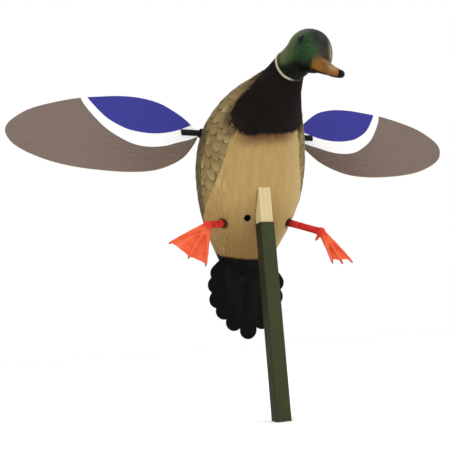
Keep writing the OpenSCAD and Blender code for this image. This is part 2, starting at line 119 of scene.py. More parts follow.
def make_studio():
    world = bpy.data.worlds.new("studio")
    bpy.context.scene.world = world
    world.use_nodes = True
    background = world.node_tree.nodes["Background"]
    background.inputs["Color"].default_value = (1.0, 1.0, 1.0, 1.0)
    background.inputs["Strength"].default_value = 1.0
    for light in LIGHTS:
        make_light(*light)
    bpy.context.scene.view_settings.view_transform = "Standard"


# ---- mesh helpers ----------------------------------------------------------

def spline(a, b, c, d, t):
    """A point of a Catmull-Rom curve between b and c."""
    return 0.5 * (2 * b + (c - a) * t + (2 * a - 5 * b + 4 * c - d) * t ** 2
                  + (3 * b - a - 3 * c + d) * t ** 3)


def refine(rows, steps):
    """A table of rows with `steps` rows for each gap."""
    rows = np.array(rows, float)
    last = len(rows) - 1
    out = []
    for i in range(last):
        before = rows[max(i - 1, 0)]
        after = rows[min(i + 2, last)]
        for k in range(steps):
            out.append(spline(before, rows[i], rows[i + 1], after, k / steps))
    out.append(rows[last])
    return np.array(out)


def refine_closed(rows, steps):
    """The same round a closed outline."""
    rows = np.array(rows, float)
    n = len(rows)
    out = []
    for i in range(n):
        for k in range(steps):
            out.append(spline(rows[i - 1], rows[i], rows[(i + 1) % n], rows[(i + 2) % n], k / steps))
    return np.array(out)


def smooth_step(x, low, high):
    t = np.clip((x - low) / (high - low), 0.0, 1.0)
    return t * t * (3 - 2 * t)


def make_object(name, points, faces, smooth=True):
    """A mesh object from points in millimetres."""
    mesh = bpy.data.meshes.new(name)
    mesh.from_pydata([tuple(p) for p in np.asarray(points) * MM], [], faces)
    mesh.validate()
    mesh.update()
    obj = bpy.data.objects.new(name, mesh)
    bpy.context.scene.collection.objects.link(obj)
    if smooth:
        mesh.shade_smooth()
    return obj


def grid_faces(rows, columns, closed=True, looped=False):
    """Quads of a grid whose columns may close into rings, and whose last row may meet the first."""
    faces = []
    for i in range(rows if looped else rows - 1):
        after = (i + 1) % rows * columns
        for j in range(columns if closed else columns - 1):
            k = (j + 1) % columns
            faces.append((i * columns + j, i * columns + k, after + k, after + j))
    return faces


def flat_ends(rings, sides):
    """The end faces of a stack of rings, first and last."""
    last = (rings - 1) * sides
    return [tuple(range(sides))[::-1], tuple(range(last, last + sides))]


def pointed_faces(rings, sides):
    """Faces of a stack of rings that two more points close, one at each end."""
    faces = grid_faces(rings, sides)
    tip, last = rings * sides, (rings - 1) * sides
    for j in range(sides):
        k = (j + 1) % sides
        faces.append((tip, k, j))
        faces.append((tip + 1, last + j, last + k))
    return faces


def sheet_faces(rows, columns):
    """Faces of a thin sheet: two grids, one below the other, and the border between them."""
    grid = grid_faces(rows, columns, closed=False)
    base = rows * columns
    last = (rows - 1) * columns
    border = [*range(0, last, columns), *range(last, last + columns),
              *range(last - 1, 0, -columns), *range(columns - 2, 0, -1)]
    faces = [face[::-1] for face in grid]
    faces += [tuple(base + k for k in face) for face in grid]
    faces += [(a, b, base + b, base + a) for a, b in zip(border, border[1:] + border[:1])]
    return faces


def round_angles(sides):
    return np.linspace(0, 2 * math.pi, sides, endpoint=False)


def set_value(obj, name, values):
    """A number on every vertex, which materials read by its name."""
    attribute = obj.data.attributes.new(name, "FLOAT", "POINT")
    attribute.data.foreach_set("value", np.asarray(values, np.float32))


def coordinates(obj):
    """The vertices of an object, one row each, in millimetres."""
    co = np.zeros(len(obj.data.vertices) * 3)
    obj.data.vertices.foreach_get("co", co)
    return co.reshape(-1, 3) / MM


def apply_modifiers(obj):
    graph = bpy.context.evaluated_depsgraph_get()
    graph.update()
    mesh = bpy.data.meshes.new_from_object(obj.evaluated_get(graph))
    obj.modifiers.clear()
    obj.data = mesh


def join(name, objs):
    """One object from several, keeping their materials."""
    for other in bpy.context.selected_objects:
        other.select_set(False)
    for obj in objs:
        obj.select_set(True)
    bpy.context.view_layer.objects.active = objs[0]
    bpy.ops.object.join()
    objs[0].name = name
    objs[0].select_set(False)
    return objs[0]


# A direction that no tube starts along, and how far its ends swell out, as a share of its radius.
TUBE_ACROSS = (0.3, 0.9, 0.2)
TUBE_END = 0.4


def tube(name, path, radii, sides):
    """A round tube with rounded ends along a path, one radius for each point."""
    tangents = np.gradient(path, axis=0)
    tangents /= np.linalg.norm(tangents, axis=1)[:, None]
    normal = np.cross(tangents[0], TUBE_ACROSS)
    points = []
    for p, t, r in zip(path, tangents, radii):
        normal = normal - t * normal.dot(t)
        normal /= np.linalg.norm(normal)
        other = np.cross(t, normal)
        points += [p + r * (math.cos(a) * normal + math.sin(a) * other) for a in round_angles(sides)]
    points += [path[0] - tangents[0] * radii[0] * TUBE_END, path[-1] + tangents[-1] * radii[-1] * TUBE_END]
    return make_object(name, points, pointed_faces(len(path), sides))


def stand_in(obj, node, body, paint=None):
    """Show a piece in place of a CAD node, moving with that node's body."""
    if paint:
        obj.data.materials.append(paint)
    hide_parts(node)
    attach(obj, body)


# ---- material helpers --------------------------------------------------------

class Paint:
    """A material under construction, with short calls for the usual nodes."""

    def __init__(self, name, rough, metal=0.0, sheen=0.0, gloss=0.05):
        self.material = bpy.data.materials.new(name)
        self.material.use_nodes = True
        self.tree = self.material.node_tree
        self.shader = self.tree.nodes["Principled BSDF"]
        self.shader.inputs["Roughness"].default_value = rough
        self.shader.inputs["Metallic"].default_value = metal
        self.shader.inputs["Sheen Weight"].default_value = sheen
        self.shader.inputs["Specular IOR Level"].default_value = gloss
        self.place = self.add("ShaderNodeTexCoord").outputs["Object"]

    def add(self, kind):
        return self.tree.nodes.new(kind)

    def put(self, value, socket):
        if isinstance(value, bpy.types.NodeSocket):
            self.tree.links.new(value, socket)
        else:
            socket.default_value = value

    def vector(self, x, y=0.0, z=0.0):
        node = self.add("ShaderNodeCombineXYZ")
        for value, socket in zip((x, y, z), node.inputs):
            self.put(value, socket)
        return node.outputs["Vector"]

    def scaled(self, scale, vector=None):
        """A vector, or else the object coordinates, stretched by three factors."""
        node = self.add("ShaderNodeMapping")
        self.put(vector or self.place, node.inputs["Vector"])
        node.inputs["Scale"].default_value = scale
        return node.outputs["Vector"]

    def noise(self, scale, detail=4.0, rough=0.55, vector=None):
        node = self.add("ShaderNodeTexNoise")
        self.put(vector or self.place, node.inputs["Vector"])
        node.inputs["Scale"].default_value = scale
        node.inputs["Detail"].default_value = detail
        node.inputs["Roughness"].default_value = rough
        return node.outputs["Fac"]

    def wave(self, scale, distortion, direction, vector=None):
        node = self.add("ShaderNodeTexWave")
        node.bands_direction = direction
        self.put(vector or self.place, node.inputs["Vector"])
        node.inputs["Scale"].default_value = scale
        node.inputs["Distortion"].default_value = distortion
        node.inputs["Detail"].default_value = 3.0
        return node.outputs["Fac"]

    def value(self, name):
        node = self.add("ShaderNodeAttribute")
        node.attribute_name = name
        return node.outputs["Fac"]

    def math(self, operation, a, b=0.0):
        node = self.add("ShaderNodeMath")
        node.operation = operation
        self.put(a, node.inputs[0])
        self.put(b, node.inputs[1])
        return node.outputs[0]

    def ramp(self, value, low, high, to_low=0.0, to_high=1.0):
        """A smooth change of a value from one range to another."""
        node = self.add("ShaderNodeMapRange")
        node.interpolation_type = "SMOOTHSTEP"
        self.put(value, node.inputs["Value"])
        node.inputs["From Min"].default_value = low
        node.inputs["From Max"].default_value = high
        node.inputs["To Min"].default_value = to_low
        node.inputs["To Max"].default_value = to_high
        return node.outputs["Result"]

    def swing(self, noise, width):
        """A noise as an offset, to either side of nothing, over a width."""
        return self.math("MULTIPLY", self.math("SUBTRACT", noise, 0.5), width)

    def mix(self, factor, a, b):
        node = self.add("ShaderNodeMix")
        node.data_type = "RGBA"
        self.put(factor, node.inputs["Factor"])
        self.put(a, node.inputs["A"])
        self.put(b, node.inputs["B"])
        return node.outputs["Result"]

    def between(self, noise, a, b):
        """Two colours that drift into each other with a noise."""
        return self.mix(self.ramp(noise, 0.35, 0.65), a, b)

    def layered(self, colour, layers):
        """A colour with others laid over it.

        Each layer is a value, where on it the layer starts and is full, its share, and its colour.
        """
        for value, start, full, share, over in layers:
            colour = self.mix(self.ramp(value, start, full, 0.0, share), colour, rgb(*over))
        return colour

    def bump(self, height, strength, distance):
        node = self.add("ShaderNodeBump")
        node.inputs["Strength"].default_value = strength
        node.inputs["Distance"].default_value = distance
        self.put(height, node.inputs["Height"])
        if self.shader.inputs["Normal"].is_linked:
            self.put(self.shader.inputs["Normal"].links[0].from_socket, node.inputs["Normal"])
        self.put(node.outputs["Normal"], self.shader.inputs["Normal"])

    def colour(self, value):
        self.put(value, self.shader.inputs["Base Color"])

    def roughness(self, noise, low, high):
        """Roughness that wanders between two values with a noise."""
        self.put(self.ramp(noise, 0.3, 0.7, low, high), self.shader.inputs["Roughness"])


# The studio's light brightens a painted surface, so its paint is given darker by this much.
SHADE = 0.72


def rgb(red, green, blue):
    """A colour given as it looks on screen in the studio's light, 0 to 255."""
    def linear(c):
        c /= 255
        return SHADE * (c / 12.92 if c <= 0.04045 else ((c + 0.055) / 1.055) ** 2.4)
    return (linear(red), linear(green), linear(blue), 1.0)


ROUGH_SPREAD = 0.08


def mottled(name, base, spread, scale, rough, bump, grain=900.0):
    """Paint or plastic with soft colour drift, uneven gloss and a fine moulded grain."""
    paint = Paint(name, rough)
    drift = paint.ramp(paint.noise(scale), 0.3, 0.7)
    paint.colour(paint.mix(drift, base, spread))
    paint.roughness(paint.noise(scale * 3), rough - ROUGH_SPREAD, rough + ROUGH_SPREAD)
    paint.bump(paint.noise(grain, 2.0), bump, 0.0004)
    return paint


# ---- plain materials ---------------------------------------------------------

# The place across the stake of its side face, in metres, and the width over which the painted
# shade on that face ends on the rounded edge.
SHADED_SIDE_X = -0.0124
SHADED_SIDE_EDGE = 0.0004


def stake_paint():
    """Green spray paint, with painted shade making the side face towards the bird's right darker and
    browner.
    """
    paint = Paint("stake_green", 0.5)
    split = paint.add("ShaderNodeSeparateXYZ")
    paint.put(paint.place, split.inputs["Vector"])
    paint.colour(paint.layered(rgb(60, 66, 42), [
        (paint.noise(18.0, 3.0, 0.5, paint.scaled((6.0, 6.0, 0.6))), 0.35, 0.65, 0.35, (68, 73, 47)),
        # Painted shade: the side face towards the bird's right is darkened and browned.
        (split.outputs["X"], SHADED_SIDE_X + SHADED_SIDE_EDGE, SHADED_SIDE_X, 0.85, (46, 40, 20)),
        (paint.noise(120.0, 6.0, 0.7), 0.66, 0.74, 0.25, (74, 76, 54)),
    ]))
    paint.roughness(paint.noise(90.0), 0.42, 0.58)
    paint.bump(paint.noise(900.0, 2.0), 0.15, 0.0004)
    return paint.material


def peg_wood():
    paint = Paint("peg_wood", 0.62)
    along = paint.scaled((1.0, 1.0, 0.05))
    rings = paint.wave(38.0, 4.0, "X", along)
    pores = paint.noise(700.0, 4.0, 0.6, along)
    paint.colour(paint.layered(rgb(220, 201, 152), [
        (rings, 0.2, 0.9, 1.0, (213, 192, 142)),
        (pores, 0.55, 0.75, 0.3, (190, 164, 112)),
    ]))
    paint.bump(pores, 0.25, 0.0005)
    return paint.material


def screw_steel():
    paint = Paint("screw_steel", 0.32, 1.0)
    paint.colour(paint.mix(paint.noise(260.0), rgb(188, 188, 184), rgb(150, 150, 148)))
    paint.roughness(paint.noise(420.0), 0.25, 0.42)
    paint.bump(paint.noise(900.0), 0.1, 0.0003)
    return paint.material


def brushed_metal(name, light, dark, rough, stretch):
    paint = Paint(name, rough, 1.0)
    brushed = paint.noise(240.0, 5.0, 0.6, paint.scaled(stretch))
    paint.colour(paint.mix(paint.ramp(brushed, 0.3, 0.7), light, dark))
    paint.roughness(brushed, rough - 0.08, rough + 0.1)
    paint.bump(brushed, 0.12, 0.0003)
    return paint.material


def strap_webbing():
    paint = Paint("strap_webbing", 0.8, 0.0, 0.2)
    weft = paint.wave(420.0, 0.0, "Z")
    warp = paint.wave(420.0, 0.0, "X")
    weave = paint.math("MULTIPLY", weft, warp)
    paint.colour(paint.mix(weave, rgb(22, 22, 22), rgb(44, 44, 42)))
    paint.bump(weave, 0.5, 0.0005)
    return paint.material


def rotor_windings():
    paint = Paint("rotor_windings", 0.4, 0.9)
    turns = paint.wave(900.0, 0.3, "X")
    paint.colour(paint.mix(turns, rgb(150, 84, 40), rgb(196, 120, 62)))
    paint.bump(turns, 0.6, 0.0005)
    return paint.material


def give(material, *names):
    for name in names:
        NODES[name].data.materials.clear()
        NODES[name].data.materials.append(material)


def paint_cad_nodes():
    black = mottled("black_plastic", rgb(24, 24, 24), rgb(34, 33, 32), 90.0, 0.42, 0.2).material
    rubber = mottled("black_rubber", rgb(26, 25, 24), rgb(38, 36, 34), 70.0, 0.78, 0.3, 500.0).material
    case = mottled("battery_case", rgb(62, 62, 66), rgb(48, 48, 52), 60.0, 0.5, 0.3, 500.0).material
    sheet = brushed_metal("frame_sheet", rgb(150, 150, 152), rgb(110, 110, 114), 0.4, (0.1, 1.0, 1.0))
    ground = brushed_metal("ground_rod", rgb(196, 198, 202), rgb(160, 162, 166), 0.22, (4.0, 0.3, 0.3))
    bronze = brushed_metal("sintered_bronze", rgb(190, 146, 84), rgb(150, 108, 56), 0.42, (1.0, 1.0, 1.0))
    brass = brushed_metal("terminal_brass", rgb(206, 180, 110), rgb(176, 148, 84), 0.3, (1.0, 0.3, 1.0))
    give(stake_paint(), "stake_tube")
    give(peg_wood(), "stake_peg")
    give(screw_steel(), "peg_screws", "socket_screws", "frame_screws", "clamp_screws", "switch_nut",
         "switch_toggle", "hatch_hinge_pin", "wing_screws_left", "wing_screws_right")
    give(black, "peg_socket", "motor_end_left", "motor_end_right", "hub_left", "hub_right",
         "switch_body", "charge_jack", "battery_tray", "tail_screw")
    give(rubber, "grommet_left", "grommet_right", "leg_bushing_left", "leg_bushing_right")
    give(case, "battery")
    give(sheet, "motor_frame", "motor_clamp", "motor_can")
    give(ground, "wing_shaft", "shaft_collars")
    give(bronze, "shaft_bushing_left", "shaft_bushing_right")
    give(brass, "battery_terminals")
    give(strap_webbing(), "battery_strap")
    give(rotor_windings(), "motor_rotor")


# ---- body shape ----------------------------------------------------------------

# Rump to neck: along, back, side, bend, turn, half width, rise, drop.
BODY_ROWS = [
    (-262, -92, 0, -22, 0, 16, 10, 11),
    (-235, -76, 0, -20, 0, 38, 22, 27),
    (-195, -60, 0, -14, 0, 60, 36, 46),
    (-145, -50, 0, -6, 0, 82, 54, 59),
    (-95, -41, 0, -2, 0, 95, 68, 67),
    (-45, -30, 0, 0, 0, 99, 72, 71),
    (0, -27, 0, 6, 0, 93.5, 72, 68),
    (38, -39, 0, 16, 2, 81.5, 58.5, 58),
    (70, -54.5, 3, 28, 6, 65.5, 44.5, 48),
    (96, -72, 7, 34, 9, 49.5, 34, 38),
    (116, -83.5, 11, 38, 11, 36.5, 28.5, 32),
    (141.6, -88, 18, 44, 8, 26, 26, 26),
]
BODY_POWER = 2.25
BODY_SIDES = 416
BODY_STEPS = 32

# Degrees from the belly line at which the olive back begins, by place along the body.
BACK_EDGE = [(-262, 118), (-190, 106), (-141, 89), (-120, 77), (-103, 68), (-82, 59), (-61, 52),
             (-35, 46), (-12, 43), (20, 44), (38, 42), (55, 43), (80, 54), (120, 84), (140, 100)]
# Place along the body at which the dark breast begins, by degrees round from the belly line,
# negative on the bird's right.
BREAST_EDGE = [(-180, 112), (-112, 111), (-100, 105), (-87, 95), (-79, 72), (-66, 53), (-45, 40.5),
               (-37, 38.5), (-28, 37.5), (-17, 41), (-6, 46), (3, 49), (13, 51.5), (23, 52.5), (35, 54),
               (50, 55), (58, 57.5), (70, 66), (80, 80), (90, 96), (110, 108), (180, 112)]
# Degrees from the belly line of the joint between the body's front and back mouldings.
SEAM_EDGE = [(-262, 79), (-87, 79), (-37, 81), (3, 83), (20, 87), (57, 89), (140, 95)]
# The joint shows up to the first of these places along the body, and is gone by the second.
SEAM_FADE = 4.0
SEAM_END = 46.0
# Place along the body at which the black rump begins, by degrees from the belly line.
RUMP_EDGE = [(0, -209), (40, -206), (75, -206), (100, -204), (180, -200)]
# The rump's rounded end: its rings' sizes, as shares of the first ring, and its height.
DOME_SHARES = (0.02, 0.2, 0.4, 0.6, 0.8, 0.92)
DOME_RISE = 5.0

FEATHER_LENGTH = 19.0
FEATHER_WIDTH = 17.5
FEATHER_LIFT = 1.9
FEATHER_LEAN = 0.42
# How much the feathers differ in their places, size, lean and height.
SPREAD_ACROSS = 0.36
SPREAD_ALONG = 0.40
SPREAD_SIZE = 0.34
SPREAD_LEAN = 0.30
SPREAD_HEIGHT = 0.06
# A feather's outline: half its width, how far it reaches at its sides and how much further at its
# middle, how blunt it is, and the width of its rim, all as shares of its size but the bluntness.
FEATHER_HALF = 0.60
FEATHER_SIDE = 0.40
FEATHER_POINT = 0.70
FEATHER_BLUNT = 2.1
FEATHER_RIM = 0.16

# How far the back stands out from the belly, and the depths of the comb strokes and the joint.
EDGE_LIFT = 0.7
STROKE_DEPTH = 0.20
GROOVE_DEPTH = 1.3
GROOVE_HALF = 1.3
# The width of a comb stroke's lane for each degree from the belly line.
LANE = 1.6
# Painted shade darkens the skin round a leg, out to this distance from its axis; further than
# the reach from the leg's root, the distance isn't measured.
SOCKET_SHADE = 7.0
SOCKET_REACH = 40.0
SKIN_VALUES = ("back", "breast", "rump", "seam", "feather", "rim", "tone", "along", "lane", "comb", "place",
               "turn", "socket")


def bulge(value, power=BODY_POWER):
    """A sine or cosine made fuller, which squares a round section a little."""
    return np.sign(value) * np.abs(value) ** (2 / power)


def section(row, angles, out=0.0):
    """A ring of the body's surface for a row, or a larger one that lies further out."""
    along, back, side, bend, turn, half_w, rise, drop = row
    bend, turn = math.radians(bend), math.radians(turn)
    axis = -math.sin(bend) * BACK + math.cos(bend) * ALONG
    up = math.cos(bend) * BACK + math.sin(bend) * ALONG
    across = math.cos(turn) * SIDE - math.sin(turn) * axis
    height = np.where(np.sin(angles) > 0, rise, drop)
    x = (half_w + out) * bulge(np.cos(angles))
    y = (height + out) * bulge(np.sin(angles))
    return body_point(side, back, along) + np.outer(x, across) + np.outer(y, up)


def table_value(table, at):
    keys, values = zip(*table)
    return np.interp(at, keys, values)


def scatter(row, column, seed):
    """A repeatable spread of values from -0.5 to 0.5 over a lattice."""
    wild = np.sin(row * 12.9898 + column * 78.233 + seed * 37.719) * 43758.5453
    return wild - np.floor(wild) - 0.5


def feather_height(along, around):
    """Height, tone and rim of overlapping pointed feathers that lean away from the belly.

    All run from 0 to 1; no two feathers have quite the same place, size or slant.
    """
    height = np.zeros_like(along)
    inner = np.zeros_like(along)
    tone = np.full_like(along, 0.5)
    outward = np.sign(around)
    base_row = np.floor(along / FEATHER_LENGTH)
    for step in (-1, 0, 1, 2):
        row = base_row + step
        shift = np.where(row % 2 == 0, 0.0, 0.5)
        base_column = np.round(around / FEATHER_WIDTH - shift)
        for side in (-1, 0, 1):
            column = base_column + side
            centre = (column + shift + SPREAD_ACROSS * scatter(row, column, 1)) * FEATHER_WIDTH
            root = (row + SPREAD_ALONG * scatter(row, column, 2)) * FEATHER_LENGTH
            size = 1.0 + SPREAD_SIZE * scatter(row, column, 3)
            lean = FEATHER_LEAN + SPREAD_LEAN * scatter(row, column, 4)
            reach = (root - along) / (FEATHER_LENGTH * size)
            slant = outward * lean * reach * FEATHER_LENGTH
            offset = np.abs(around - centre - slant) / (FEATHER_WIDTH * FEATHER_HALF * size)
            tip = FEATHER_SIDE + FEATHER_POINT * np.clip(1 - offset ** FEATHER_BLUNT, 0, 1)
            tilt = np.clip((reach + 0.9) / 2.0, 0, 1) * (1 - 0.25 * offset ** 2)
            tilt += SPREAD_HEIGHT * scatter(row, column, 5)
            rim = np.sqrt(np.clip((tip - reach) / FEATHER_RIM, 0, 1))
            higher = (offset < 1) & (reach < tip) & (tilt * rim > height)
            height = np.where(higher, tilt * rim, height)
            tone = np.where(higher, 0.5 + scatter(row, column, 6), tone)
            inner = np.where(higher, rim, inner)
    return height, tone, inner


def leg_distance(points, sign):
    """Distance of points from a leg's axis, for the skin near where the leg comes out."""
    heading = LEG_RUN[sign] / np.linalg.norm(LEG_RUN[sign])
    offset = points - LEG_ROOT[sign]
    away = np.linalg.norm(np.cross(offset, heading), axis=-1)
    return np.where(np.linalg.norm(offset, axis=-1) < SOCKET_REACH, away, SOCKET_REACH)


class Skin:
    """The painted body surface as a grid of rings, with its values for the paint."""

    def __init__(self):
        table = refine(BODY_ROWS, BODY_STEPS)
        angles = round_angles(BODY_SIDES)
        rings = np.array([section(row, angles) for row in table])
        steps = np.linalg.norm(np.diff(rings.mean(axis=1), axis=0), axis=1)
        along = np.concatenate([[0], np.cumsum(steps)])[:, None] + np.zeros(BODY_SIDES)
        place = table[:, :1] + np.zeros(BODY_SIDES)
        start = BODY_SIDES // 4
        turned = np.roll(rings, -start, axis=1)
        gaps = np.linalg.norm(np.roll(turned, -1, axis=1) - turned, axis=2)
        arc = np.concatenate([np.zeros((len(table), 1)), np.cumsum(gaps, axis=1)[:, :-1]], axis=1)
        girth = gaps.sum(axis=1)[:, None]
        around = np.roll(np.where(arc < girth / 2, arc, arc - girth), start, axis=1)
        degrees = np.degrees((angles - 1.5 * math.pi + math.pi) % (2 * math.pi) - math.pi)
        turn = degrees[None, :] + np.zeros((len(table), 1))
        from_belly = np.abs(turn)
        per_degree = girth / 360
        self.back = (from_belly - table_value(BACK_EDGE, place)) * per_degree
        self.breast = place - table_value(BREAST_EDGE, turn)
        self.rump = table_value(RUMP_EDGE, from_belly) - place
        self.seam = (from_belly - table_value(SEAM_EDGE, place)) * per_degree
        self.feather, self.tone, self.rim = feather_height(along, around)
        self.lane = np.sign(around) * from_belly * LANE
        near_breast = np.exp(np.minimum(self.breast, 0) / 16)
        self.comb = 0.22 + 0.78 * np.maximum(near_breast * 0.9, smooth_step(from_belly, 30, 46))
        self.along, self.place, self.turn = along, place, turn
        self.socket = np.minimum(leg_distance(rings, 1), leg_distance(rings, -1))
        self.rings = self.relief(rings, self.normals(rings))
        self.close_rump()

    def close_rump(self):
        """Carry the rump end on as rings that shrink to a low dome."""
        first = self.rings[0]
        middle = first.mean(axis=0)
        dome = [middle + (first - middle) * k - ALONG * DOME_RISE * (1 - k ** 2) for k in DOME_SHARES]
        self.rings = np.concatenate([dome, self.rings])
        for key in SKIN_VALUES:
            value = getattr(self, key)
            setattr(self, key, np.concatenate([np.repeat(value[:1], len(dome), axis=0), value]))

    def normals(self, rings):
        forward = np.gradient(rings, axis=0)
        round_it = np.roll(rings, -1, axis=1) - np.roll(rings, 1, axis=1)
        normal = np.cross(round_it, forward)
        return normal / np.linalg.norm(normal, axis=2)[:, :, None]

    def relief(self, rings, normals):
        """The moulded feathers, comb strokes and joint line."""
        on_back = smooth_step(self.back, 0.0, 5.0) * smooth_step(-self.breast, 0.0, 6.0)
        seam_shows = smooth_step(-self.place, -SEAM_END, -SEAM_FADE)
        past_seam = 1 - 0.3 * smooth_step(self.seam, 0.0, 8.0) * seam_shows
        feathers = FEATHER_LIFT * on_back * past_seam * (self.feather - 0.45)
        edge = EDGE_LIFT * smooth_step(self.back, -0.5, 1.5) * smooth_step(-self.breast, -0.5, 1.5)
        phase = self.lane * 2.3 + 1.4 * np.sin(self.along * 0.11) + 2.0 * np.sin(self.lane * 0.17)
        lengthwise = np.sin(self.along * 0.16 + 3.0 * np.sin(self.lane * 0.6))
        strokes = STROKE_DEPTH * self.comb * np.sin(phase) * lengthwise
        groove = GROOVE_DEPTH * np.exp(-(self.seam / GROOVE_HALF) ** 2) * seam_shows
        height = feathers + edge + strokes * (1 - on_back) - groove
        return rings + normals * height[:, :, None]

    def make(self, name):
        faces = grid_faces(len(self.rings), BODY_SIDES) + flat_ends(len(self.rings), BODY_SIDES)[:1]
        obj = make_object(name, self.rings.reshape(-1, 3), faces)
        for key in SKIN_VALUES:
            set_value(obj, key, getattr(self, key).reshape(-1))
        return obj


# ---- cutting ---------------------------------------------------------------------

def cut_window(obj, origin, across, up, outline, keep_inside=False):
    """Cut a mesh along a convex prism and delete what lies inside, or outside, it.

    The prism runs from origin outward along across x up; outline is in millimetres.
    """
    outward = np.cross(across, up)
    outline = np.array(outline, float)
    reach = np.abs(outline).max() * 1.5 + 6
    mesh = obj.data
    centres = np.zeros(len(mesh.polygons) * 3)
    mesh.polygons.foreach_get("center", centres)
    offset = centres.reshape(-1, 3) / MM - origin
    close = (np.abs(offset @ across) < reach) & (np.abs(offset @ up) < reach) & (offset @ outward > 0)
    bm = bmesh.new()
    bm.from_mesh(mesh)
    bm.faces.ensure_lookup_table()
    near = [bm.faces[i] for i in np.nonzero(close)[0]]
    far = [] if not keep_inside else [bm.faces[i] for i in np.nonzero(~close)[0]]
    sides = list(zip(outline, np.roll(outline, -1, axis=0)))
    for a, b in sides:
        edges = {edge for face in near for edge in face.edges}
        verts = {vert for face in near for vert in face.verts}
        normal = across * (b - a)[1] - up * (b - a)[0]
        cut = bmesh.ops.bisect_plane(bm, geom=list(verts) + list(edges) + near, dist=1e-7,
                                     plane_co=(origin + across * a[0] + up * a[1]) * MM, plane_no=normal)
        near = [part for part in cut["geom"] if isinstance(part, bmesh.types.BMFace)]

    def inside(face):
        offset = np.array(face.calc_center_median()) / MM - origin
        x, y = offset @ across, offset @ up
        return min((b - a)[0] * (y - a[1]) - (b - a)[1] * (x - a[0]) for a, b in sides) > 0

    doomed = far + [face for face in near if inside(face) != keep_inside]
    bmesh.ops.delete(bm, geom=doomed, context="FACES")
    bm.to_mesh(mesh)
    bm.free()


def box_outline(x0, x1, y0, y1):
    return [(x0, y0), (x1, y0), (x1, y1), (x0, y1)]


def round_outline(radius, sides=20):
    return [(radius * math.cos(a), radius * math.sin(a)) for a in round_angles(sides)]


def thicken(obj, thickness):
    """Give a skin its wall, on the inner side."""
    solid = obj.modifiers.new("wall", "SOLIDIFY")
    solid.thickness = thickness * MM
    solid.offset = -1.0
    solid.use_even_offset = False
    apply_modifiers(obj)


# ---- body and hatch ------------------------------------------------------------------

HATCH_HALF = 36.0
HATCH_LOW = -165.0
HATCH_HIGH = -55.0
HATCH_GAP = 0.5
HINGE_BACK = -2.5
HINGE_ALONG = -168.5
HINGE_R = 3.2
PIN_R = 1.6
KNUCKLE_END = 15.0
KNUCKLE_MID = 5.6
KNUCKLE_GAP = 0.4
BARREL_SIDES = 40
BARREL_EASE = 0.4
PEG_HALF = 11.6
JACK_AT = (-24.0, -104.5, -116.0)
JACK_R = 5.95
# Where the cuts through the skin start, inside the body: the hatch's place on the back axis, the
# peg's height, and the jack's distance from its face.
HATCH_CUT_FROM = -30.0
PEG_CUT_FROM = 430.0
JACK_CUT_DEPTH = 40.0


def barrel(name, x0, x1):
    """A hinge barrel across the body, bored for the pin, with eased ends."""
    eased = HINGE_R - BARREL_EASE
    profile = [(PIN_R, x0), (eased, x0), (HINGE_R, x0 + BARREL_EASE), (HINGE_R, x1 - BARREL_EASE),
               (eased, x1), (PIN_R, x1)]
    points = [body_point(x, HINGE_BACK + radius * math.sin(a), HINGE_ALONG + radius * math.cos(a))
              for radius, x in profile for a in round_angles(BARREL_SIDES)]
    return make_object(name, points, grid_faces(len(profile), BARREL_SIDES, looped=True), smooth=False)


def slab(name, low, high, round_r=0.6):
    """A rounded block in the body's frame."""
    corners = [body_point(x, v, u) for x in (low[0], high[0]) for v in (low[1], high[1])
               for u in (low[2], high[2])]
    faces = [(0, 1, 3, 2), (4, 6, 7, 5), (0, 4, 5, 1), (2, 3, 7, 6), (0, 2, 6, 4), (1, 5, 7, 3)]
    obj = make_object(name, corners, faces, smooth=False)
    bevel = obj.modifiers.new("ease", "BEVEL")
    bevel.width = round_r * MM
    bevel.segments = 3
    apply_modifiers(obj)
    return obj


def cut_hatch(obj, gap, keep_inside):
    """Cut the hatch's opening in the skin, or keep only what fills it, less a gap."""
    outline = box_outline(gap - HATCH_HALF, HATCH_HALF - gap, gap - HATCH_HIGH, -HATCH_LOW - gap)
    cut_window(obj, body_point(0, HATCH_CUT_FROM, 0), SIDE, -ALONG, outline, keep_inside)


def make_body(skin, paint, plain):
    obj = skin.make("painted_body")
    cut_hatch(obj, 0.0, False)
    cut_window(obj, np.array([0.0, 0.0, PEG_CUT_FROM]), np.array([0.0, 1.0, 0.0]), SIDE,
               box_outline(-PEG_HALF, PEG_HALF, -PEG_HALF, PEG_HALF))
    side, back, along = JACK_AT
    cut_window(obj, body_point(side, back + JACK_CUT_DEPTH, along), SIDE, ALONG, round_outline(JACK_R))
    thicken(obj, SHELL_T)
    obj.data.materials.append(paint)
    parts = [obj]
    for sign in (-1, 1):
        ends = sorted((sign * (KNUCKLE_MID + KNUCKLE_GAP), sign * KNUCKLE_END))
        parts.append(barrel("body_knuckle", *ends))
        parts.append(slab("body_leaf", (ends[0], HINGE_BACK - 5, HINGE_ALONG - 6),
                          (ends[1], HINGE_BACK - 1.2, HINGE_ALONG - 2)))
    for part in parts[1:]:
        part.data.materials.append(plain)
    stand_in(join("painted_body", parts), "body_shell", "decoy")


def make_hatch(skin, paint, plain):
    obj = skin.make("painted_hatch")
    cut_hatch(obj, HATCH_GAP, True)
    thicken(obj, SHELL_T)
    obj.data.materials.append(paint)
    leaf = slab("lid_leaf", (-KNUCKLE_MID, HINGE_BACK - 2.2, HINGE_ALONG + 2),
                (KNUCKLE_MID, HINGE_BACK + 1.6, HINGE_ALONG + 10))
    tab = slab("lid_tab", (-8, 34, HATCH_HIGH - 9), (8, 43, HATCH_HIGH - 5), 1.2)
    knuckle = barrel("lid_knuckle", -KNUCKLE_MID, KNUCKLE_MID)
    for part in (leaf, tab, knuckle):
        part.data.materials.append(plain)
    stand_in(join("painted_hatch", [obj, leaf, tab, knuckle]), "back_hatch", "hatch")


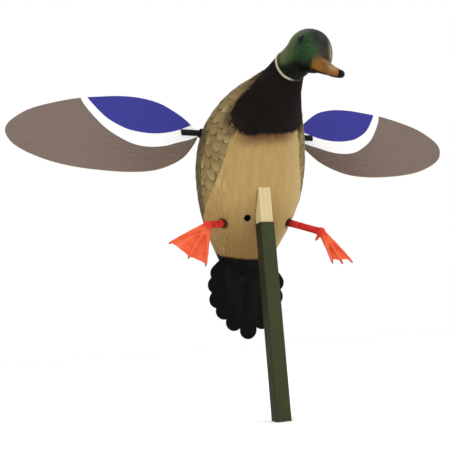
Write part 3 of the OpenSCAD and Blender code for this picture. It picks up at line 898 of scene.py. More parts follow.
def belly_tan(paint, fine, wide, comb):
    """Combed tan, darker toward the rump and under the breast as painted shade, and paler on the bird's
    left flank as painted light.
    """
    tan = paint.between(wide, rgb(178, 147, 91), rgb(185, 155, 99))
    # Painted shade: the belly darkens toward the rump, its lower end.
    tan = paint.mix(paint.ramp(paint.value("place"), -70.0, -215.0, 0.0, 0.9), tan, rgb(136, 106, 58))
    lit = paint.math("MULTIPLY", paint.ramp(fine, 0.5, 0.72, 0.0, 0.65), comb)
    deep = paint.math("MULTIPLY", paint.ramp(fine, 0.5, 0.28, 0.0, 0.6), comb)
    tan = paint.mix(lit, tan, rgb(216, 188, 132))
    tan = paint.mix(deep, tan, rgb(122, 90, 50))
    # Painted shade under the overhanging breast, strongest in the middle of the belly.
    from_belly = paint.math("ABSOLUTE", paint.value("turn"))
    middle = paint.ramp(from_belly, 52.0, 16.0, 0.25, 1.0)
    stray = paint.swing(fine, 40.0)
    near = paint.ramp(paint.math("ADD", paint.value("breast"), stray), -34.0, 0.0, 0.0, 0.95)
    tan = paint.mix(paint.math("MULTIPLY", near, middle), tan, rgb(92, 64, 38))
    # Painted light: the bird's left flank is made paler.
    lit_flank = paint.ramp(paint.value("turn"), 8.0, 58.0, 0.0, 0.7)
    return paint.mix(lit_flank, tan, rgb(208, 184, 130))


def back_olive(paint, fine, breast):
    """Feathers in olive with painted light on their raised tips and painted shade in the low grooves and
    along their rims, the joint line, and brown brushed in near the breast.
    """
    olive = paint.layered(rgb(128, 112, 72), [
        # Painted light and shade: lighter where a feather stands high, darker in the low grooves beyond the
        # next feather's edge and along each rim.
        (paint.value("feather"), 0.25, 0.9, 1.0, (166, 146, 98)),
        (paint.value("tone"), 0.1, 0.9, 0.65, (128, 110, 70)),
        (paint.noise(36.0, 5.0, 0.6), 0.42, 0.66, 0.55, (144, 120, 80)),
        (fine, 0.52, 0.74, 0.3, (176, 160, 116)),
        (paint.value("feather"), 0.32, 0.06, 0.75, (84, 68, 40)),
        (paint.value("rim"), 1.0, 0.72, 0.8, (78, 63, 36)),
    ])
    seam_shows = paint.ramp(paint.value("place"), SEAM_END, SEAM_FADE)
    past_seam = paint.ramp(paint.value("seam"), -1.0, 6.0, 0.0, 0.75)
    edge_tone = paint.math("MULTIPLY", past_seam, paint.math("MAXIMUM", seam_shows, 0.4))
    olive = paint.mix(edge_tone, olive, rgb(66, 52, 28))
    seam = paint.ramp(paint.math("ABSOLUTE", paint.value("seam")), 2.4, 0.6, 0.0, 0.85)
    olive = paint.mix(paint.math("MULTIPLY", seam, seam_shows), olive, rgb(44, 34, 20))
    brushed = paint.math("MULTIPLY", paint.ramp(breast, -26.0, -1.0), paint.ramp(fine, 0.36, 0.56))
    return paint.mix(brushed, olive, rgb(66, 48, 34))


def body_paint():
    paint = Paint("body_paint", 0.6)
    lanes = paint.vector(paint.value("lane"), paint.value("along"))

    def streaks(across, along):
        return paint.noise(1.0, 3.0, 0.6, paint.scaled((1 / across, 1 / along, 1.0), lanes))

    fine = streaks(1.3, 22.0)
    wide = streaks(9.0, 70.0)
    comb = paint.value("comb")
    bite = paint.swing(fine, 13.0)
    ragged = paint.swing(paint.noise(90.0, 4.0, 0.7), 14.0)
    breast = paint.math("ADD", paint.value("breast"), paint.math("ADD", bite, ragged))
    on_breast = paint.ramp(breast, -4.5, 4.5)
    small_bite = paint.math("MULTIPLY", bite, 0.25)
    on_back = paint.ramp(paint.math("ADD", paint.value("back"), small_bite), -0.8, 0.8)
    on_rump = paint.ramp(paint.math("ADD", paint.value("rump"), bite), -2.0, 2.0)
    brown = paint.mix(paint.ramp(paint.noise(24.0, 5.0), 0.45, 0.75), rgb(20, 14, 11), rgb(32, 23, 19))
    black = paint.mix(paint.ramp(paint.noise(60.0), 0.4, 0.7), rgb(11, 10, 9), rgb(18, 16, 14))
    colour = paint.mix(on_back, belly_tan(paint, fine, wide, comb), back_olive(paint, fine, breast))
    # Painted shade round the leg holes.
    socket = paint.ramp(paint.value("socket"), SOCKET_SHADE + 4.5, SOCKET_SHADE, 0.0, 0.85)
    colour = paint.mix(socket, colour, rgb(52, 26, 16))
    colour = paint.mix(on_breast, colour, brown)
    paint.colour(paint.mix(on_rump, colour, black))
    paint.roughness(paint.noise(90.0), 0.5, 0.68)
    paint.bump(paint.math("MULTIPLY", fine, comb), 0.5, 0.0006)
    paint.bump(paint.noise(1100.0, 2.0), 0.08, 0.0004)
    return paint.material


# ---- frames of the other parts ---------------------------------------------------------

def turn_about(axis, degrees):
    return np.array(Matrix.Rotation(math.radians(degrees), 3, axis))


BODY_FRAME = turn_about("X", 90.0 - BODY_PITCH)
HEAD_FRAME = turn_about("Z", HEAD_TURN) @ turn_about("X", 90.0 + HEAD_NOD)
WING_FRAME = turn_about("X", 90.0 - WING_LEAN)
TAIL_FRAME = (BODY_FRAME @ turn_about("X", 180.0 - TAIL_BEND) @ np.diag([1.0, -1.0, 1.0])
              @ turn_about("X", 90.0))
TAIL_AT = body_point(0, -95, -230)


def placed(frame_matrix, at, points):
    """Where points of a part's own frame lie in the scene."""
    return at + np.asarray(points, float) @ frame_matrix.T


# ---- head -----------------------------------------------------------------------------

# Back of the skull to the face: along, top, bottom, half width.
HEAD_ROWS = [
    (-45, 4, -2, 3), (-42, 15.5, -12, 12.5), (-34, 28, -20.5, 21.5), (-19, 36, -25, 27),
    (-2, 38, -27.5, 30), (13, 35, -27.5, 29), (26, 26, -25, 24.5), (35.5, 12.5, -22, 18.5),
    (41, 2, -19.5, 12.5),
]
# The bill: along, top, bottom, half width.
BILL_ROWS = [
    (30, 9, -24.5, 14), (45.5, -3, -24.5, 14), (57.5, -7.5, -24.5, 13), (67, -10, -24.5, 13),
    (77, -12, -25, 12.8), (85, -13.5, -24, 10), (89, -15.5, -23.5, 4.5),
]
NECK_ROWS = [
    (141.0, -87.4, 17.9, 44, 8, 26, 26, 26),
    (154.6, -100.1, 23.6, 44, 8, 26.8, 26.6, 26.4),
    (170, -112.2, 29.0, 44.5, 8, 29, 28, 27),
]
# The collar's section, at the joint between head and neck.
RING_ROW = (141.2, -87.6, 17.95, 44, 8, 26.4, 26.4, 26.4)
HEAD_SIDES = 96
HEAD_STEPS = 8
HEAD_POWER = 2.1
HEAD_VOXEL = 1.0
HEAD_PASSES = 34
BILL_SIDES = 128
BILL_STEPS = 14
BILL_POWER = 2.6
EYE_AT = (25.4, 18.8, 7.2)
EYE_R = 5.0
EYE_TALL = 1.3
EYE_NARROW = 0.85
EYE_FLAT = 0.6
EYE_SLANT = math.radians(38)
EYE_SIDES = 48
EYE_STEPS = 28
NAIL_LEAN = 3.0
NAIL_HALF = 8.5
NAIL_LENGTH = 9.0
# Half the width of the dark wedge down the crown and forehead, by place along the head.
CROWN_EDGE = [(-24, -6), (-12, 8), (2, 15), (13, 15), (24, 13.5), (31, 12), (35, 10.5),
              (38, 9.5), (41, 8), (45, 6), (50, 3), (56, -1), (62, -6)]
# The wedge's point leans to the bird's left by this much, from the first place to the second.
WEDGE_LEAN = 6.0
WEDGE_FROM = 34.0
WEDGE_TO = 46.0
# Place along the head at which the bill's colour begins, by height.
BILL_EDGE = [(-28, 28), (-21, 31), (-11, 36), (-4, 37.5), (3, 38.5), (8, 43)]


def crown_value(x, z):
    """How far inside the dark crown and forehead wedge a place is."""
    middle = WEDGE_LEAN * smooth_step(z, WEDGE_FROM, WEDGE_TO)
    return table_value(CROWN_EDGE, z) - np.abs(x - middle)


def eye_axes(y, z):
    """A place's distances from the eye's middle, along its long and short axes."""
    up, fore = y - EYE_AT[1], z - EYE_AT[2]
    tall = up * math.cos(EYE_SLANT) - fore * math.sin(EYE_SLANT)
    wide = up * math.sin(EYE_SLANT) + fore * math.cos(EYE_SLANT)
    return tall / EYE_TALL, wide / EYE_NARROW


def neck_place(row):
    """The middle of a body row."""
    along, back, side = row[:3]
    return body_point(side, back, along)


def neck_axis(row):
    """The direction in which a body row's section faces, toward the head."""
    bend = math.radians(row[3])
    return -math.sin(bend) * BACK + math.cos(bend) * ALONG


def oval(row, angles, power):
    along, top, bottom, half_w = row
    return np.column_stack([half_w * bulge(np.cos(angles), power),
                            (top + bottom) / 2 + (top - bottom) / 2 * bulge(np.sin(angles), power),
                            np.full(len(angles), along)])


def closed_loft(name, rings):
    """A skin through rings, closed by a point at each end."""
    ends = [rings[0].mean(axis=0), rings[-1].mean(axis=0)]
    return make_object(name, np.concatenate([*rings, ends]), pointed_faces(len(rings), len(rings[0])))


def fuse(name, parts, voxel, passes):
    """One smooth skin round several overlapping shapes."""
    obj = join(name, parts)
    remesh = obj.modifiers.new("fuse", "REMESH")
    remesh.mode = "VOXEL"
    remesh.voxel_size = voxel * MM
    soften = obj.modifiers.new("soften", "SMOOTH")
    soften.factor = 0.5
    soften.iterations = passes
    apply_modifiers(obj)
    obj.data.shade_smooth()
    return obj


def push(obj, amount):
    """Move each vertex out along its normal, in millimetres."""
    normals = np.zeros(len(obj.data.vertices) * 3)
    obj.data.vertices.foreach_get("normal", normals)
    moved = (coordinates(obj) + normals.reshape(-1, 3) * np.asarray(amount)[:, None]) * MM
    obj.data.vertices.foreach_set("co", moved.reshape(-1))
    obj.data.update()


def make_head(paint):
    angles = round_angles(HEAD_SIDES)
    skull = closed_loft("skull", [placed(HEAD_FRAME, HEAD_AT, oval(row, angles, HEAD_POWER))
                                  for row in refine(HEAD_ROWS, HEAD_STEPS)])
    neck = closed_loft("neck", [section(row, angles) for row in refine(NECK_ROWS, HEAD_STEPS)])
    head = fuse("painted_head", [skull, neck], HEAD_VOXEL, HEAD_PASSES)
    own = (coordinates(head) - HEAD_AT) @ HEAD_FRAME
    x, y, z = own.T
    beside_eye = np.hypot(*eye_axes(y, z))
    on_side = smooth_step(np.abs(x), 16, 22)
    lid = 0.6 * np.exp(-((beside_eye - 5.8) / 1.4) ** 2) * on_side
    cheek = 1.0 * np.exp(-(((y + 6) / 13) ** 2 + ((z - 10) / 15) ** 2)) * on_side
    strokes = 0.10 * np.sin(y * 2.6 + 2.5 * np.sin(z * 0.22) + x * 0.4) * smooth_step(32 - z, 0, 8)
    push(head, lid + cheek + strokes)
    set_value(head, "bill_edge", z - table_value(BILL_EDGE, y))
    set_value(head, "crown", crown_value(x, z) - 40 * smooth_step(-y, 2, 10))
    set_value(head, "throat", y + 0.5 * np.maximum(-z, 0))
    set_value(head, "eye_ring", beside_eye)
    set_value(head, "collar", (coordinates(head) - neck_place(RING_ROW)) @ neck_axis(RING_ROW))
    # Painted highlight along the far cheek's edge, on the bird's left side only.
    far_cheek_highlight = np.exp(-((x - 13.5) / 3.6) ** 2)
    set_value(head, "far_cheek_highlight", far_cheek_highlight * smooth_step(z, 20, 34) * smooth_step(y, -8, 0))
    set_value(head, "side", x)
    set_value(head, "up", y)
    set_value(head, "fore", z)
    stand_in(head, "head", "decoy", paint)


def head_green(paint, fine, drift):
    """Brushed green, olive on the nape, dark round the eyes, and painted shade at the throat and along the
    collar.
    """
    return paint.layered(paint.between(drift, rgb(30, 55, 31), rgb(43, 71, 41)), [
        (fine, 0.5, 0.68, 0.55, (76, 94, 54)),
        (fine, 0.5, 0.28, 0.45, (16, 34, 18)),
        (paint.value("fore"), 8.0, -26.0, 0.7, (95, 103, 60)),
        # Painted shade under the head: the throat and the band just above the collar.
        (paint.value("throat"), -4.0, -20.0, 0.97, (8, 10, 7)),
        (paint.value("collar"), 19.0, 4.0, 0.9, (14, 20, 13)),
        (paint.value("eye_ring"), 8.4, 4.4, 0.85, (8, 16, 8)),
    ])


def head_paint():
    paint = Paint("head_paint", 0.5, gloss=0.06)
    own_place = paint.vector(paint.value("side"), paint.value("up"), paint.value("fore"))
    fine = paint.noise(1.0, 3.0, 0.6, paint.scaled((0.25, 0.75, 0.07), own_place))
    drift = paint.noise(40.0, 4.0)
    wander = paint.swing(fine, 7.0)
    crown = paint.ramp(paint.math("ADD", paint.value("crown"), wander), -6.0, 4.5, 0.0, 0.92)
    grey = paint.layered(paint.between(drift, rgb(34, 32, 31), rgb(54, 52, 51)), [
        (paint.value("fore"), 24.0, 4.0, 0.6, (20, 21, 18)),
        (paint.value("fore"), 32.0, 42.0, 0.7, (72, 56, 40)),
    ])
    colour = paint.mix(crown, head_green(paint, fine, drift), grey)
    # Painted highlight along the far cheek.
    far_cheek_highlight = paint.math("MULTIPLY", paint.value("far_cheek_highlight"), 0.85)
    colour = paint.mix(far_cheek_highlight, colour, rgb(160, 150, 114))
    base = paint.between(drift, rgb(152, 104, 46), rgb(126, 84, 36))
    base = paint.mix(paint.ramp(paint.value("up"), -9.0, 3.0, 0.0, 0.75), base, rgb(84, 66, 38))
    reach = paint.math("ADD", paint.value("bill_edge"), paint.math("MULTIPLY", wander, 0.5))
    off_crown = paint.ramp(paint.value("crown"), 2.0, -3.5)
    on_bill = paint.math("MULTIPLY", paint.ramp(reach, -3.0, 4.5), off_crown)
    paint.colour(paint.mix(on_bill, colour, base))
    paint.roughness(drift, 0.42, 0.58)
    paint.bump(fine, 0.35, 0.0006)
    paint.bump(paint.noise(1100.0, 2.0), 0.06, 0.0004)
    return paint.material


def bill_share(height, row):
    """A height within a bill row, from -1 at its bottom to 1 at its top."""
    top, bottom = row[1:3]
    return (height - (top + bottom) / 2) / (top - bottom) * 2


def bill_ring(row, angles):
    """A ring of the bill, with its flared sides, mouth line, nostrils and raised nail."""
    ring = oval(row, angles, BILL_POWER)
    along = row[0]
    x, y = ring[:, 0], ring[:, 1]
    share = bill_share(y, row)
    narrow = 1 - 0.26 * smooth_step(share, 0.1, 1.0) * smooth_step(72 - along, 0, 30)
    flare = 1 + 0.08 * np.exp(-((along - 76) / 10) ** 2) * smooth_step(-share, -0.6, 0.5)
    mouth = 1 - 0.07 * np.exp(-((share + 0.62) / 0.12) ** 2) * smooth_step(along, 44, 52)
    nostril = 1.2 * np.exp(-(((along - 55) / 4.5) ** 2 + ((share - 0.45) / 0.2) ** 2)) * (share > 0)
    nail = 0.7 * np.exp(-((along - 84) / 3.5) ** 2) * smooth_step(share, 0.4, 1.0)
    return np.column_stack([x * narrow * flare * mouth - np.sign(x) * nostril, y + nail, ring[:, 2]])


def make_bill(paint):
    table = refine(BILL_ROWS, BILL_STEPS)
    rings = [bill_ring(row, round_angles(BILL_SIDES)) for row in table]
    bill = closed_loft("painted_bill", [placed(HEAD_FRAME, HEAD_AT, ring) for ring in rings])
    side, up, fore = np.concatenate(rings).T
    share = np.concatenate([bill_share(ring[:, 1], row) for ring, row in zip(rings, table)])
    root, end = table[0], table[-1]
    nail = 1 - np.hypot((side - NAIL_LEAN) / NAIL_HALF, (fore - end[0]) / NAIL_LENGTH)
    # The last two numbers are for the points that close the bill's root and tip.
    set_value(bill, "fore", np.append(fore, (root[0], end[0])))
    set_value(bill, "share", np.append(share, (0, 0)))
    set_value(bill, "up", np.append(up, (root[1], end[1])))
    set_value(bill, "crown", np.append(crown_value(side, fore), (0, -20)))
    set_value(bill, "nail", np.append(nail, (-1, 1)))
    stand_in(bill, "bill", "decoy", paint)


def bill_paint():
    paint = Paint("bill_paint", 0.46, gloss=0.06)
    drift = paint.noise(70.0, 5.0)
    ochre = paint.between(drift, rgb(140, 96, 42), rgb(116, 76, 30))
    fore, share = paint.value("fore"), paint.value("share")
    jitter = paint.math("MULTIPLY", paint.noise(260.0, 3.0), 0.3)
    # Painted light on the top of the bill toward its tip.
    pale = paint.math("MULTIPLY", paint.ramp(share, -0.1, 0.8), paint.ramp(fore, 62.0, 78.0, 0.0, 0.3))
    colour = paint.mix(pale, ochre, rgb(186, 144, 84))
    high = paint.ramp(paint.value("up"), -9.0, 3.0, 0.0, 0.75)
    root = paint.math("MULTIPLY", high, paint.ramp(fore, 50.0, 42.0))
    colour = paint.mix(root, colour, rgb(84, 66, 38))
    crown = paint.math("ADD", paint.value("crown"), paint.math("MULTIPLY", jitter, 8.0))
    wedge = paint.ramp(crown, -2.5, 3.0)
    ridge = paint.math("MULTIPLY", paint.ramp(share, 0.1, 0.6, 0.0, 0.9), wedge)
    colour = paint.mix(ridge, colour, rgb(40, 34, 28))
    paint.colour(paint.layered(colour, [
        (paint.noise(520.0, 2.0), 0.66, 0.74, 0.4, (98, 62, 26)),
        (paint.math("ADD", share, jitter), -0.38, -0.62, 1.0, (26, 16, 11)),
        (paint.value("nail"), 0.02, 0.16, 1.0, (10, 8, 7)),
    ]))
    paint.roughness(drift, 0.34, 0.5)
    paint.bump(paint.noise(300.0, 4.0), 0.12, 0.0005)
    return paint.material


def make_eyes(paint):
    """Two glass eyes, each a dome with its back sunk in the head."""
    slopes = np.linspace(0.001, math.pi * 0.98, EYE_STEPS)
    angles = round_angles(EYE_SIDES)
    parts = []
    for sign in (-1, 1):
        rings = []
        for slope in slopes:
            radius = EYE_R * math.sin(slope)
            out = EYE_R * EYE_FLAT * math.cos(slope)
            tall = radius * EYE_TALL * np.cos(angles)
            wide = radius * EYE_NARROW * np.sin(angles) * sign
            ring = np.column_stack([np.full(EYE_SIDES, sign * (EYE_AT[0] + out)),
                                    EYE_AT[1] + tall * math.cos(EYE_SLANT) + wide * math.sin(EYE_SLANT),
                                    EYE_AT[2] - tall * math.sin(EYE_SLANT) + wide * math.cos(EYE_SLANT)])
            rings.append(placed(HEAD_FRAME, HEAD_AT, ring))
        eye = closed_loft("eye", rings)
        set_value(eye, "from_middle", np.append(np.repeat(EYE_R * np.sin(slopes), EYE_SIDES), (0, 0)))
        parts.append(eye)
    stand_in(join("glass_eyes", parts), "eyes", "decoy", paint)


def eye_gloss():
    paint = Paint("eye_gloss", 0.22, gloss=0.08)
    drift = paint.noise(700.0)
    iris = paint.mix(drift, rgb(10, 14, 8), rgb(16, 18, 10))
    paint.colour(paint.mix(paint.ramp(paint.value("from_middle"), 2.5, 2.9), rgb(6, 5, 5), iris))
    paint.roughness(drift, 0.18, 0.28)
    paint.bump(drift, 0.03, 0.0002)
    return paint.material


RING_HALF = 2.4
RING_RISE = 2.6
RING_SUNK = 1.4
RING_SIDES = 256
RING_STEPS = 25
# The collar's white fades out under the throat into painted shade: degrees round from the belly line.
RING_FADE = 22.0


def make_ring(paint):
    """The white collar: a low band with rounded edges round the neck's joint."""
    angles = round_angles(RING_SIDES)
    axis = neck_axis(RING_ROW)
    waver = 1 + 0.08 * np.sin(angles * 7 + 1.0) + 0.05 * np.sin(angles * 17)
    rings = []
    for a in np.linspace(0, math.pi, RING_STEPS):
        out = RING_RISE * math.sin(a) ** 0.6 - RING_SUNK
        rings.append(section(RING_ROW, angles, out) - np.outer(RING_HALF * math.cos(a) * waver, axis))
    faces = grid_faces(RING_STEPS, RING_SIDES, looped=True)
    band = make_object("painted_collar", np.concatenate(rings), faces)
    set_value(band, "turn", np.tile((np.degrees(angles) - 270 + 180) % 360 - 180, RING_STEPS))
    stand_in(band, "neck_ring", "decoy", paint)


def ring_paint():
    paint = Paint("ring_paint", 0.5)
    drift = paint.noise(90.0, 5.0)
    off_throat = paint.math("ABSOLUTE", paint.math("SUBTRACT", paint.value("turn"), RING_FADE))
    paint.colour(paint.layered(paint.between(drift, rgb(206, 198, 178), rgb(180, 170, 148)), [
        (paint.noise(260.0, 5.0), 0.6, 0.72, 0.5, (120, 112, 92)),
        # Painted shade: the white goes dark where the collar lies under the throat.
        (off_throat, 38.0, 16.0, 0.92, (20, 17, 14)),
    ]))
    paint.roughness(drift, 0.42, 0.58)
    paint.bump(paint.noise(500.0, 4.0), 0.2, 0.0004)
    return paint.material


# ---- tail ------------------------------------------------------------------------------

# Feather tips from the middle outward: sideways, along the fan.
TAIL_TIPS = [(0, 105), (27, 88.5), (46, 67), (58, 46), (60.5, 20), (55.5, -1)]
# The bird's left half of the fan is closed by this much at each tip.
TAIL_CLOSE = [0, 0, 0, 4.2, 4.6, 10]
TAIL_ROOT = -60.0
TAIL_FEATHER_R = 16.2
TAIL_T = 3.0
TAIL_SCREW_AT = (-15.0, 10.0)
# Each feather outward lies this much lower than the one before.
TAIL_STEP = 0.9
# The feathers start at this share of the way from the fan's root.
FEATHER_START = 0.42
FEATHER_ROWS = 90
FEATHER_COLUMNS = 41
DISC_SIDES = 96
# The discs in the fan's middle: along the fan, radius. Then their edge: how far in, how high.
TAIL_CORES = [(0, 47), (30, 40), (60, 25)]
CORE_EDGE = [(3, -3.0), (0.8, -2.2), (0, -0.8), (0.6, 0.8), (3, 1.9), (12, 2.3)]
CORE_MIDDLE = (4, 2.4)
# The screw's round seat: radius, height.
BOSS_PROFILE = [(12.6, 1.4), (12.2, 2.6), (11.4, 3.4), (10.2, 3.8), (9.4, 3.5), (8.8, 2.9),
                (8.0, 2.9), (7.4, 3.6), (6.6, 4.6), (5.6, 5.0), (2.2, 5.0)]


def tail_feather(tip, level):
    """A moulded feather: rounded tip, quill ridge, barb lines and soft edges."""
    length = math.hypot(tip[0], tip[1] - TAIL_ROOT)
    direction = np.array([tip[0], tip[1] - TAIL_ROOT]) / length
    across = np.array([direction[1], -direction[0]])
    start, end = FEATHER_START * length, length + TAIL_FEATHER_R
    reaches = start + (end - start) * np.sin(np.linspace(0, math.pi / 2, FEATHER_ROWS))
    shares = np.sin(np.linspace(-math.pi / 2, math.pi / 2, FEATHER_COLUMNS))
    beyond = np.clip((reaches - length) / TAIL_FEATHER_R, 0, 1)
    taper = 0.78 + 0.22 * smooth_step(reaches, start, length)
    half = TAIL_FEATHER_R * taper * np.sqrt(1 - beyond ** 2 + 1e-6)
    reach, share = np.meshgrid(reaches, shares, indexing="ij")
    sideways = share * half[:, None]
    edge = np.clip((1 - np.abs(share)) * half[:, None], 0, None)
    rim = np.sqrt(np.clip(edge / 1.6, 0, 1)) * np.sqrt(np.clip((end - reach) / 1.2, 0, 1))
    thick = TAIL_T / 2 * (0.35 + 0.65 * rim)
    barbs = 0.16 * np.sin((reach - 0.9 * np.abs(sideways)) * 1.9) * rim
    quill = 0.55 * np.exp(-(sideways / 1.1) ** 2) * smooth_step(end - reach, 3, 20)
    cup = 0.9 * (sideways / TAIL_FEATHER_R) ** 2
    flat = np.array([0.0, TAIL_ROOT]) + reach[..., None] * direction + sideways[..., None] * across
    points = []
    for face in (1, -1):
        z = level + TAIL_T / 2 - cup + face * (thick + barbs + quill)
        points += np.concatenate([flat, z[..., None]], axis=2).reshape(-1, 3).tolist()
    feather = make_object("tail_feather", placed(TAIL_FRAME, TAIL_AT, points), sheet_faces(*reach.shape))
    set_value(feather, "rim", np.tile(edge.reshape(-1), 2))
    return feather


def lathe(name, profile, sides, frame_matrix, at):
    """A turned shape about the z axis of a frame: radius and height of each ring."""
    points = [(radius * math.cos(a), radius * math.sin(a), z)
              for radius, z in profile for a in round_angles(sides)]
    faces = grid_faces(len(profile), sides) + flat_ends(len(profile), sides)
    return make_object(name, placed(frame_matrix, at, points), faces)


def ball(name, at, radius, sides=32):
    profile = [(max(radius * math.sin(a), 0.01), radius * math.cos(a)) for a in np.linspace(math.pi, 0, 20)]
    return lathe(name, profile, sides, np.eye(3), at)


def make_tail(paint):
    parts = []
    for index, ((out, along), close) in enumerate(zip(TAIL_TIPS, TAIL_CLOSE)):
        level = -TAIL_STEP * index
        parts.append(tail_feather((out - close, along), level))
        if out:
            parts.append(tail_feather((-out, along), level))
    turned = [((0, along), [(radius - inset, height) for inset, height in CORE_EDGE] + [CORE_MIDDLE])
              for along, radius in TAIL_CORES]
    turned.append((TAIL_SCREW_AT, BOSS_PROFILE))
    for (across, along), profile in turned:
        at = placed(TAIL_FRAME, TAIL_AT, (across, along, 0))
        parts.append(lathe("tail_disc", profile, DISC_SIDES, TAIL_FRAME, at))
    stand_in(join("painted_tail", parts), "tail_fan", "decoy", paint)


def tail_paint():
    paint = Paint("tail_paint", 0.5)
    drift = paint.noise(45.0, 4.0)
    black = paint.mix(drift, rgb(9, 9, 8), rgb(16, 15, 13))
    paint.colour(paint.layered(black, [(paint.value("rim"), 2.5, 0.6, 0.35, (30, 27, 24))]))
    paint.roughness(drift, 0.4, 0.56)
    paint.bump(paint.noise(900.0, 3.0), 0.15, 0.0004)
    return paint.material


# ---- legs and feet -----------------------------------------------------------------------

LEG_ROOT = {1: np.array([66.0, 34.0, 331.0]), -1: np.array([-66.0, 34.0, 331.0])}
LEG_RUN = {1: np.array([38.0, -38.0, -23.0]), -1: np.array([-38.0, -38.0, -10.0])}
SIDE_NAME = {1: "left", -1: "right"}
# Along a leg from its root: where it leaves its seat in the skin, and the peg that goes further in.
LEG_SEAT = -8.0
LEG_PEG = 12.0
LEG_PEG_R = 3.95
LEG_ROOT_R = 6.6
LEG_R = 6.1
LEG_STEPS = 90
LEG_SIDES = 36
LEG_VOXEL = 0.55
ANKLE_R = 7.2
HEEL_R = 7.8
# Toe tips from the ankle, and the hind toe.
TOES = {1: [(7, -17, -59), (25, -20, -61), (50, -11, -58)],
        -1: [(-13, -16, -70), (-44, -24, -58), (-71, -14, -32)]}
HIND = {1: (-7, 10, -14), -1: (6, 12, -16)}
TOE_SAG = (0, -1.8, 0.6)
TOE_RADII = (6.2, 2.0)
HIND_RADII = (5.2, 2.2)
TOE_KNUCKLES = (0.4, 0.7)
TOE_STEPS = 70
TOE_SIDES = 24
# How far each foot's webs are scalloped in, as a share of the toes' length.
WEB_DIP = {1: 0.10, -1: 0.035}
WEB_SAG = (0, -4.0, 1.6)
WEB_ROWS = 60
WEB_COLUMNS = 40
FOOT_VOXEL = 0.6
SOFTEN_PASSES = 3


def make_leg(sign, paint):
    """A leg rod with its peg in the bushing, a ringed skin and a round ankle."""
    root, run = LEG_ROOT[sign], LEG_RUN[sign]
    length = np.linalg.norm(run)
    along = run / length
    reach = np.linspace(LEG_SEAT - LEG_PEG, length, LEG_STEPS)
    share = np.clip((reach - LEG_SEAT) / (length - LEG_SEAT), 0, 1)
    tapered = LEG_ROOT_R + (LEG_R - LEG_ROOT_R) * np.sin(share * math.pi / 2)
    radii = np.where(reach < LEG_SEAT, LEG_PEG_R, tapered)
    radii = radii + 0.9 * np.exp(-((reach - length) / 7.0) ** 2)
    radii = radii + 0.14 * np.sin(reach * 2.1) * (reach > 6)
    rod = tube("leg_rod", root + reach[:, None] * along, radii, LEG_SIDES)
    parts = [rod, ball("ankle", root + run, ANKLE_R)]
    leg = fuse(f"painted_leg_{SIDE_NAME[sign]}", parts, LEG_VOXEL, SOFTEN_PASSES)
    set_value(leg, "reach", (coordinates(leg) - root) @ along)
    stand_in(leg, f"leg_{SIDE_NAME[sign]}", f"{SIDE_NAME[sign]}_leg", paint)


def toe(ankle, tip, end_radii, knuckles):
    """A toe with swellings at its joints and a tapered claw."""
    t = np.linspace(0, 1, TOE_STEPS)
    path = ankle + np.outer(t, tip) + np.outer(4 * t * (1 - t), TOE_SAG)
    first, last = end_radii
    radii = first + (last - first) * t ** 0.7
    for knuckle in knuckles:
        radii = radii + 0.4 * np.exp(-((t - knuckle) / 0.06) ** 2)
    radii = np.where(t > 0.9, radii * np.sqrt(np.clip((1.02 - t) / 0.12, 0.02, 1)), radii)
    return tube("toe", path, radii, TOE_SIDES)


def web(ankle, first, second, dip):
    """The skin between two toes: shallow scalloped edge, one soft pleat."""
    out = np.linspace(0.02, 1, WEB_ROWS)[:, None]
    side = np.linspace(0, 1, WEB_COLUMNS)[None, :]
    edge = 0.95 - dip * np.sin(math.pi * side) ** 0.8
    reach = (out * edge)[..., None]
    run = np.array(first) * (1 - side[..., None]) + np.array(second) * side[..., None]
    normal = np.cross(first, second)
    normal = -np.sign(normal[1]) * normal / np.linalg.norm(normal)
    pleat = 0.7 * out * np.sin(side * math.pi * 3) - 2.6 * out * (1 - 0.5 * out)
    wave = (np.sin(math.pi * side) * pleat)[..., None]
    middle = ankle + reach * run + wave * normal + np.array(WEB_SAG) * reach * (1 - reach)
    thick = (1.25 - 0.6 * out)[..., None] * normal
    points = np.concatenate([(middle + thick).reshape(-1, 3), (middle - thick).reshape(-1, 3)])
    return make_object("web", points, [face[::-1] for face in sheet_faces(WEB_ROWS, WEB_COLUMNS)])


def make_foot(sign, paint):
    ankle = LEG_ROOT[sign] + LEG_RUN[sign]
    toes = TOES[sign]
    parts = [toe(ankle, tip, TOE_RADII, TOE_KNUCKLES) for tip in toes]
    parts.append(toe(ankle, HIND[sign], HIND_RADII, ()))
    parts += [web(ankle, first, second, WEB_DIP[sign]) for first, second in zip(toes, toes[1:])]
    parts.append(ball("heel", ankle, HEEL_R))
    foot = fuse(f"painted_foot_{SIDE_NAME[sign]}", parts, FOOT_VOXEL, SOFTEN_PASSES)
    own = coordinates(foot) - ankle
    set_value(foot, "from_tip", np.min([np.linalg.norm(own - tip, axis=1) for tip in toes], axis=0))
    set_value(foot, "from_ankle", np.linalg.norm(own, axis=1))
    heading = toes[1] / np.linalg.norm(toes[1])
    across = np.cross(heading, (0.0, -1.0, 0.0))
    set_value(foot, "spread", np.arctan2(own @ across, own @ heading) * 30)
    stand_in(foot, f"foot_{SIDE_NAME[sign]}", f"{SIDE_NAME[sign]}_leg", paint)


